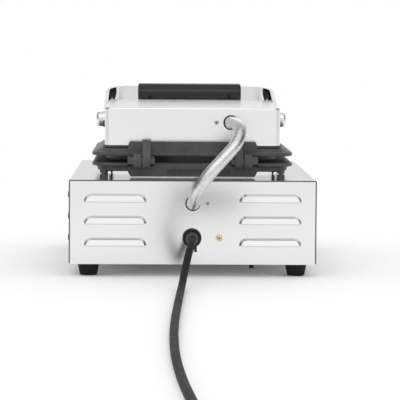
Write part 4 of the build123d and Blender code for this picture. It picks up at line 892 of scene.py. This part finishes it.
class WAFFLE_OT_hose(bpy.types.Operator):
    """Wind the steel hose from the base to the lid"""

    bl_idname = "waffle.hose"
    bl_label = "Steel hose"

    def execute(self, context):
        settings = context.scene.waffle_hose
        steel = plated_steel("hose_steel", settings.colour, 0.3)
        route = [place(*point) for point in hose_route]
        points = walk(followed_points("hose_way", route), hose_step)
        crest = settings.diameter / 2

        def wound(travelled, angle):
            turn = travelled / settings.pitch - angle / (2 * math.pi)
            share = turn % 1.0
            return crest - hose_groove * max(0.0, 1 - abs(share - 0.5) / hose_groove_share)

        hose = linked_mesh("hose", tube_mesh("hose", points, wound, hose_sides), steel)
        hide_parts("conduit")
        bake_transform(hose)
        return {"FINISHED"}


class WAFFLE_OT_cord(bpy.types.Operator):
    """Lay the mains cord along the floor and coil its end"""

    bl_idname = "waffle.cord"
    bl_label = "Mains cord"

    def execute(self, context):
        settings = context.scene.waffle_cord
        rubber = dull_rubber("cord_rubber", settings.colour)
        floor_point = [
            Vector((x * mm, base_rear - depth * mm, height * mm)) for x, depth, height in cord_route
        ]
        way = (floor_point[-1] - floor_point[-2]).normalized()
        side = Vector((way.y, -way.x, 0))
        outer = settings.coil_radius + coil_pitch * coil_layer_turns / 2
        centre = floor_point[-1] + way * settings.diameter - side * outer
        turns = []
        # A spline of this order runs inside its control points by this share
        inside = 0.75 + 0.25 * math.cos(2 * math.pi / coil_turn_points)
        for step in range(2 * coil_reversal * coil_turn_points // 4 + 1):
            quarter = step * 4 / coil_turn_points
            radius = outer - coil_pitch * (coil_reversal - abs(quarter - coil_reversal)) / 4
            climb = min(max((quarter - coil_climb_start) / 2, 0), 1)
            lift = coil_pitch * (1 - math.cos(math.pi * climb)) / 2
            angle = math.pi / 2 * quarter
            outward = side * math.cos(angle) + way * math.sin(angle)
            turns.append(centre + outward * (radius / inside) + Vector((0, 0, lift)))
        last = centre + side * outer + Vector((0, 0, coil_pitch))
        ending = [last + way * coil_exit, last + way * straight_end * settings.diameter]
        curve = spline_curve("cord", floor_point + turns + ending)
        curve.bevel_depth = settings.diameter / 2
        curve.bevel_resolution = 6
        cord = bpy.data.objects.new("mains_cord", curve)
        context.scene.collection.objects.link(cord)
        curve.materials.append(rubber)
        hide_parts("cord", "cord_coil")
        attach(cord, "base")
        return {"FINISHED"}


class WAFFLE_OT_stage(bpy.types.Operator):
    """Set up the floor, lamps, world and camera"""

    bl_idname = "waffle.stage"
    bl_label = "Studio"

    def execute(self, context):
        settings = context.scene.waffle_stage
        self.floor()
        self.world(context, settings)
        self.lamps(context, settings)
        self.camera(context, settings)
        context.scene.view_settings.view_transform = "Standard"
        return {"FINISHED"}

    def floor(self):
        """Wide floor that keeps the shadow near the appliance and is plain white far off."""
        material, tree, shader = start_material("studio_floor", (0.97, 0.97, 0.97), 0.0, 0.9)
        shader.inputs["Specular IOR Level"].default_value = 0.0
        shader.inputs["Emission Color"].default_value = (1, 1, 1, 1)
        shader.inputs["Emission Strength"].default_value = 0.035
        place_on = tree.nodes.new("ShaderNodeNewGeometry")
        reach = tree.nodes.new("ShaderNodeVectorMath")
        reach.operation = "LENGTH"
        tree.links.new(place_on.outputs["Position"], reach.inputs[0])
        far = self.ramp(tree, reach.outputs["Value"], *floor_fade, 0.0)
        glow = tree.nodes.new("ShaderNodeEmission")
        glow.inputs["Strength"].default_value = 1.0
        faded = mixed_shaders(tree, far, shader.outputs["BSDF"], glow.outputs["Emission"])
        tree.links.new(faded, tree.nodes["Material Output"].inputs["Surface"])
        build = bmesh.new()
        bmesh.ops.create_grid(build, x_segments=1, y_segments=1, size=floor_reach)
        mesh = bpy.data.meshes.new("studio_floor")
        build.to_mesh(mesh)
        build.free()
        floor = linked_mesh("studio_floor", mesh, material)
        floor.location.z = -floor_drop

    def world(self, context, settings):
        """White surroundings; mirrored, they darken to the sides, high in front and a little low down."""
        world = bpy.data.worlds.new("studio_world")
        context.scene.world = world
        world.use_nodes = True
        tree = world.node_tree
        light = tree.nodes["Background"]
        light.inputs["Color"].default_value = (1, 1, 1, 1)
        light.inputs["Strength"].default_value = settings.fill
        white = tree.nodes.new("ShaderNodeBackground")
        white.inputs["Color"].default_value = (1, 1, 1, 1)
        white.inputs["Strength"].default_value = 1.0
        mirrored = tree.nodes.new("ShaderNodeBackground")
        way = tree.nodes.new("ShaderNodeTexCoord")
        split = tree.nodes.new("ShaderNodeSeparateXYZ")
        tree.links.new(way.outputs["Generated"], split.inputs["Vector"])
        along = calculate(tree, "ABSOLUTE", split.outputs["Y"])
        level = self.ramp(tree, along, *side_fade, settings.dark_side)
        overhead = tree.nodes.new("ShaderNodeVectorMath")
        overhead.operation = "DOT_PRODUCT"
        overhead.inputs[1].default_value = overhead_way
        tree.links.new(way.outputs["Generated"], overhead.inputs[0])
        above = self.ramp(tree, overhead.outputs["Value"], *overhead_fade, 0.0)
        brighter = calculate(tree, "MAXIMUM", level, above)
        rise = self.ramp(tree, split.outputs["Z"], *rise_fade, rise_least)
        lifted = calculate(tree, "MULTIPLY", rise, mirrored_strength)
        tree.links.new(calculate(tree, "MULTIPLY", brighter, lifted), mirrored.inputs["Strength"])
        rays = tree.nodes.new("ShaderNodeLightPath")
        gloss = calculate(
            tree, "MAXIMUM", rays.outputs["Is Glossy Ray"], rays.outputs["Is Transmission Ray"],
        )
        for_gloss = mixed_shaders(
            tree, gloss, light.outputs["Background"], mirrored.outputs["Background"],
        )
        for_eye = mixed_shaders(
            tree, rays.outputs["Is Camera Ray"], for_gloss, white.outputs["Background"],
        )
        tree.links.new(for_eye, tree.nodes["World Output"].inputs["Surface"])

    def ramp(self, tree, value, low, high, least):
        """Smooth rise of a value from least to 1 between low and high."""
        fit = tree.nodes.new("ShaderNodeMapRange")
        fit.interpolation_type = "SMOOTHSTEP"
        fit.inputs["From Min"].default_value = low
        fit.inputs["From Max"].default_value = high
        fit.inputs["To Min"].default_value = least
        fit.inputs["To Max"].default_value = 1.0
        tree.links.new(value, fit.inputs["Value"])
        return fit.outputs["Result"]

    def lamps(self, context, settings):
        """Long soft lamps above the appliance, behind and in front of it."""
        for name, where, size, share in lamp_rows:
            light = bpy.data.lights.new(name, "AREA")
            light.shape = "RECTANGLE"
            light.size, light.size_y = size
            light.energy = settings.key * share
            lamp = bpy.data.objects.new(name, light)
            lamp.location = where
            aim = lamp_aim - Vector(where)
            lamp.rotation_euler = aim.to_track_quat("-Z", "Y").to_euler()
            context.scene.collection.objects.link(lamp)

    def camera(self, context, settings):
        """Camera behind the appliance, at the photograph's angle."""
        data = bpy.data.cameras.new("photo_camera")
        data.sensor_width = 36
        data.lens = settings.focal
        data.clip_end = 60
        camera = bpy.data.objects.new("photo_camera", data)
        camera.location = (settings.aside, base_rear + settings.distance, settings.height)
        camera.rotation_euler = (
            math.radians(90 - look_down), math.radians(camera_roll), math.radians(180 - look_aside),
        )
        context.scene.collection.objects.link(camera)
        context.scene.camera = camera


class WAFFLE_PT_panel(bpy.types.Panel):
    """Lists the pieces and the studio"""

    bl_idname = "WAFFLE_PT_panel"
    bl_label = "Heart waffle maker"
    bl_space_type = "VIEW_3D"
    bl_region_type = "UI"
    bl_category = "Waffle"

    def draw(self, context):
        for operator in operators:
            self.layout.operator(operator.bl_idname)


settings_groups = {
    "waffle_sheet": WaffleSheetSettings,
    "waffle_casting": WaffleCastingSettings,
    "waffle_handle": WaffleHandleSettings,
    "waffle_hose": WaffleHoseSettings,
    "waffle_cord": WaffleCordSettings,
    "waffle_dials": WaffleDialSettings,
    "waffle_stage": WaffleStageSettings,
}
operators = [
    WAFFLE_OT_stage,
    WAFFLE_OT_cord,
    WAFFLE_OT_sheet,
    WAFFLE_OT_castings,
    WAFFLE_OT_small_parts,
    WAFFLE_OT_handle,
    WAFFLE_OT_dials,
    WAFFLE_OT_screws,
    WAFFLE_OT_hose,
]


def register():
    for name, group in settings_groups.items():
        bpy.utils.register_class(group)
        setattr(bpy.types.Scene, name, bpy.props.PointerProperty(type=group))
    for operator in operators:
        bpy.utils.register_class(operator)
    bpy.utils.register_class(WAFFLE_PT_panel)


def unregister():
    bpy.utils.unregister_class(WAFFLE_PT_panel)
    for operator in reversed(operators):
        bpy.utils.unregister_class(operator)
    for name, group in settings_groups.items():
        delattr(bpy.types.Scene, name)
        bpy.utils.unregister_class(group)


def main():
    """Dress the part."""
    register()
    for operator in operators:
        prefix, action = operator.bl_idname.split(".")
        getattr(getattr(bpy.ops, prefix), action)()


if __name__ == "__main__":
    main()
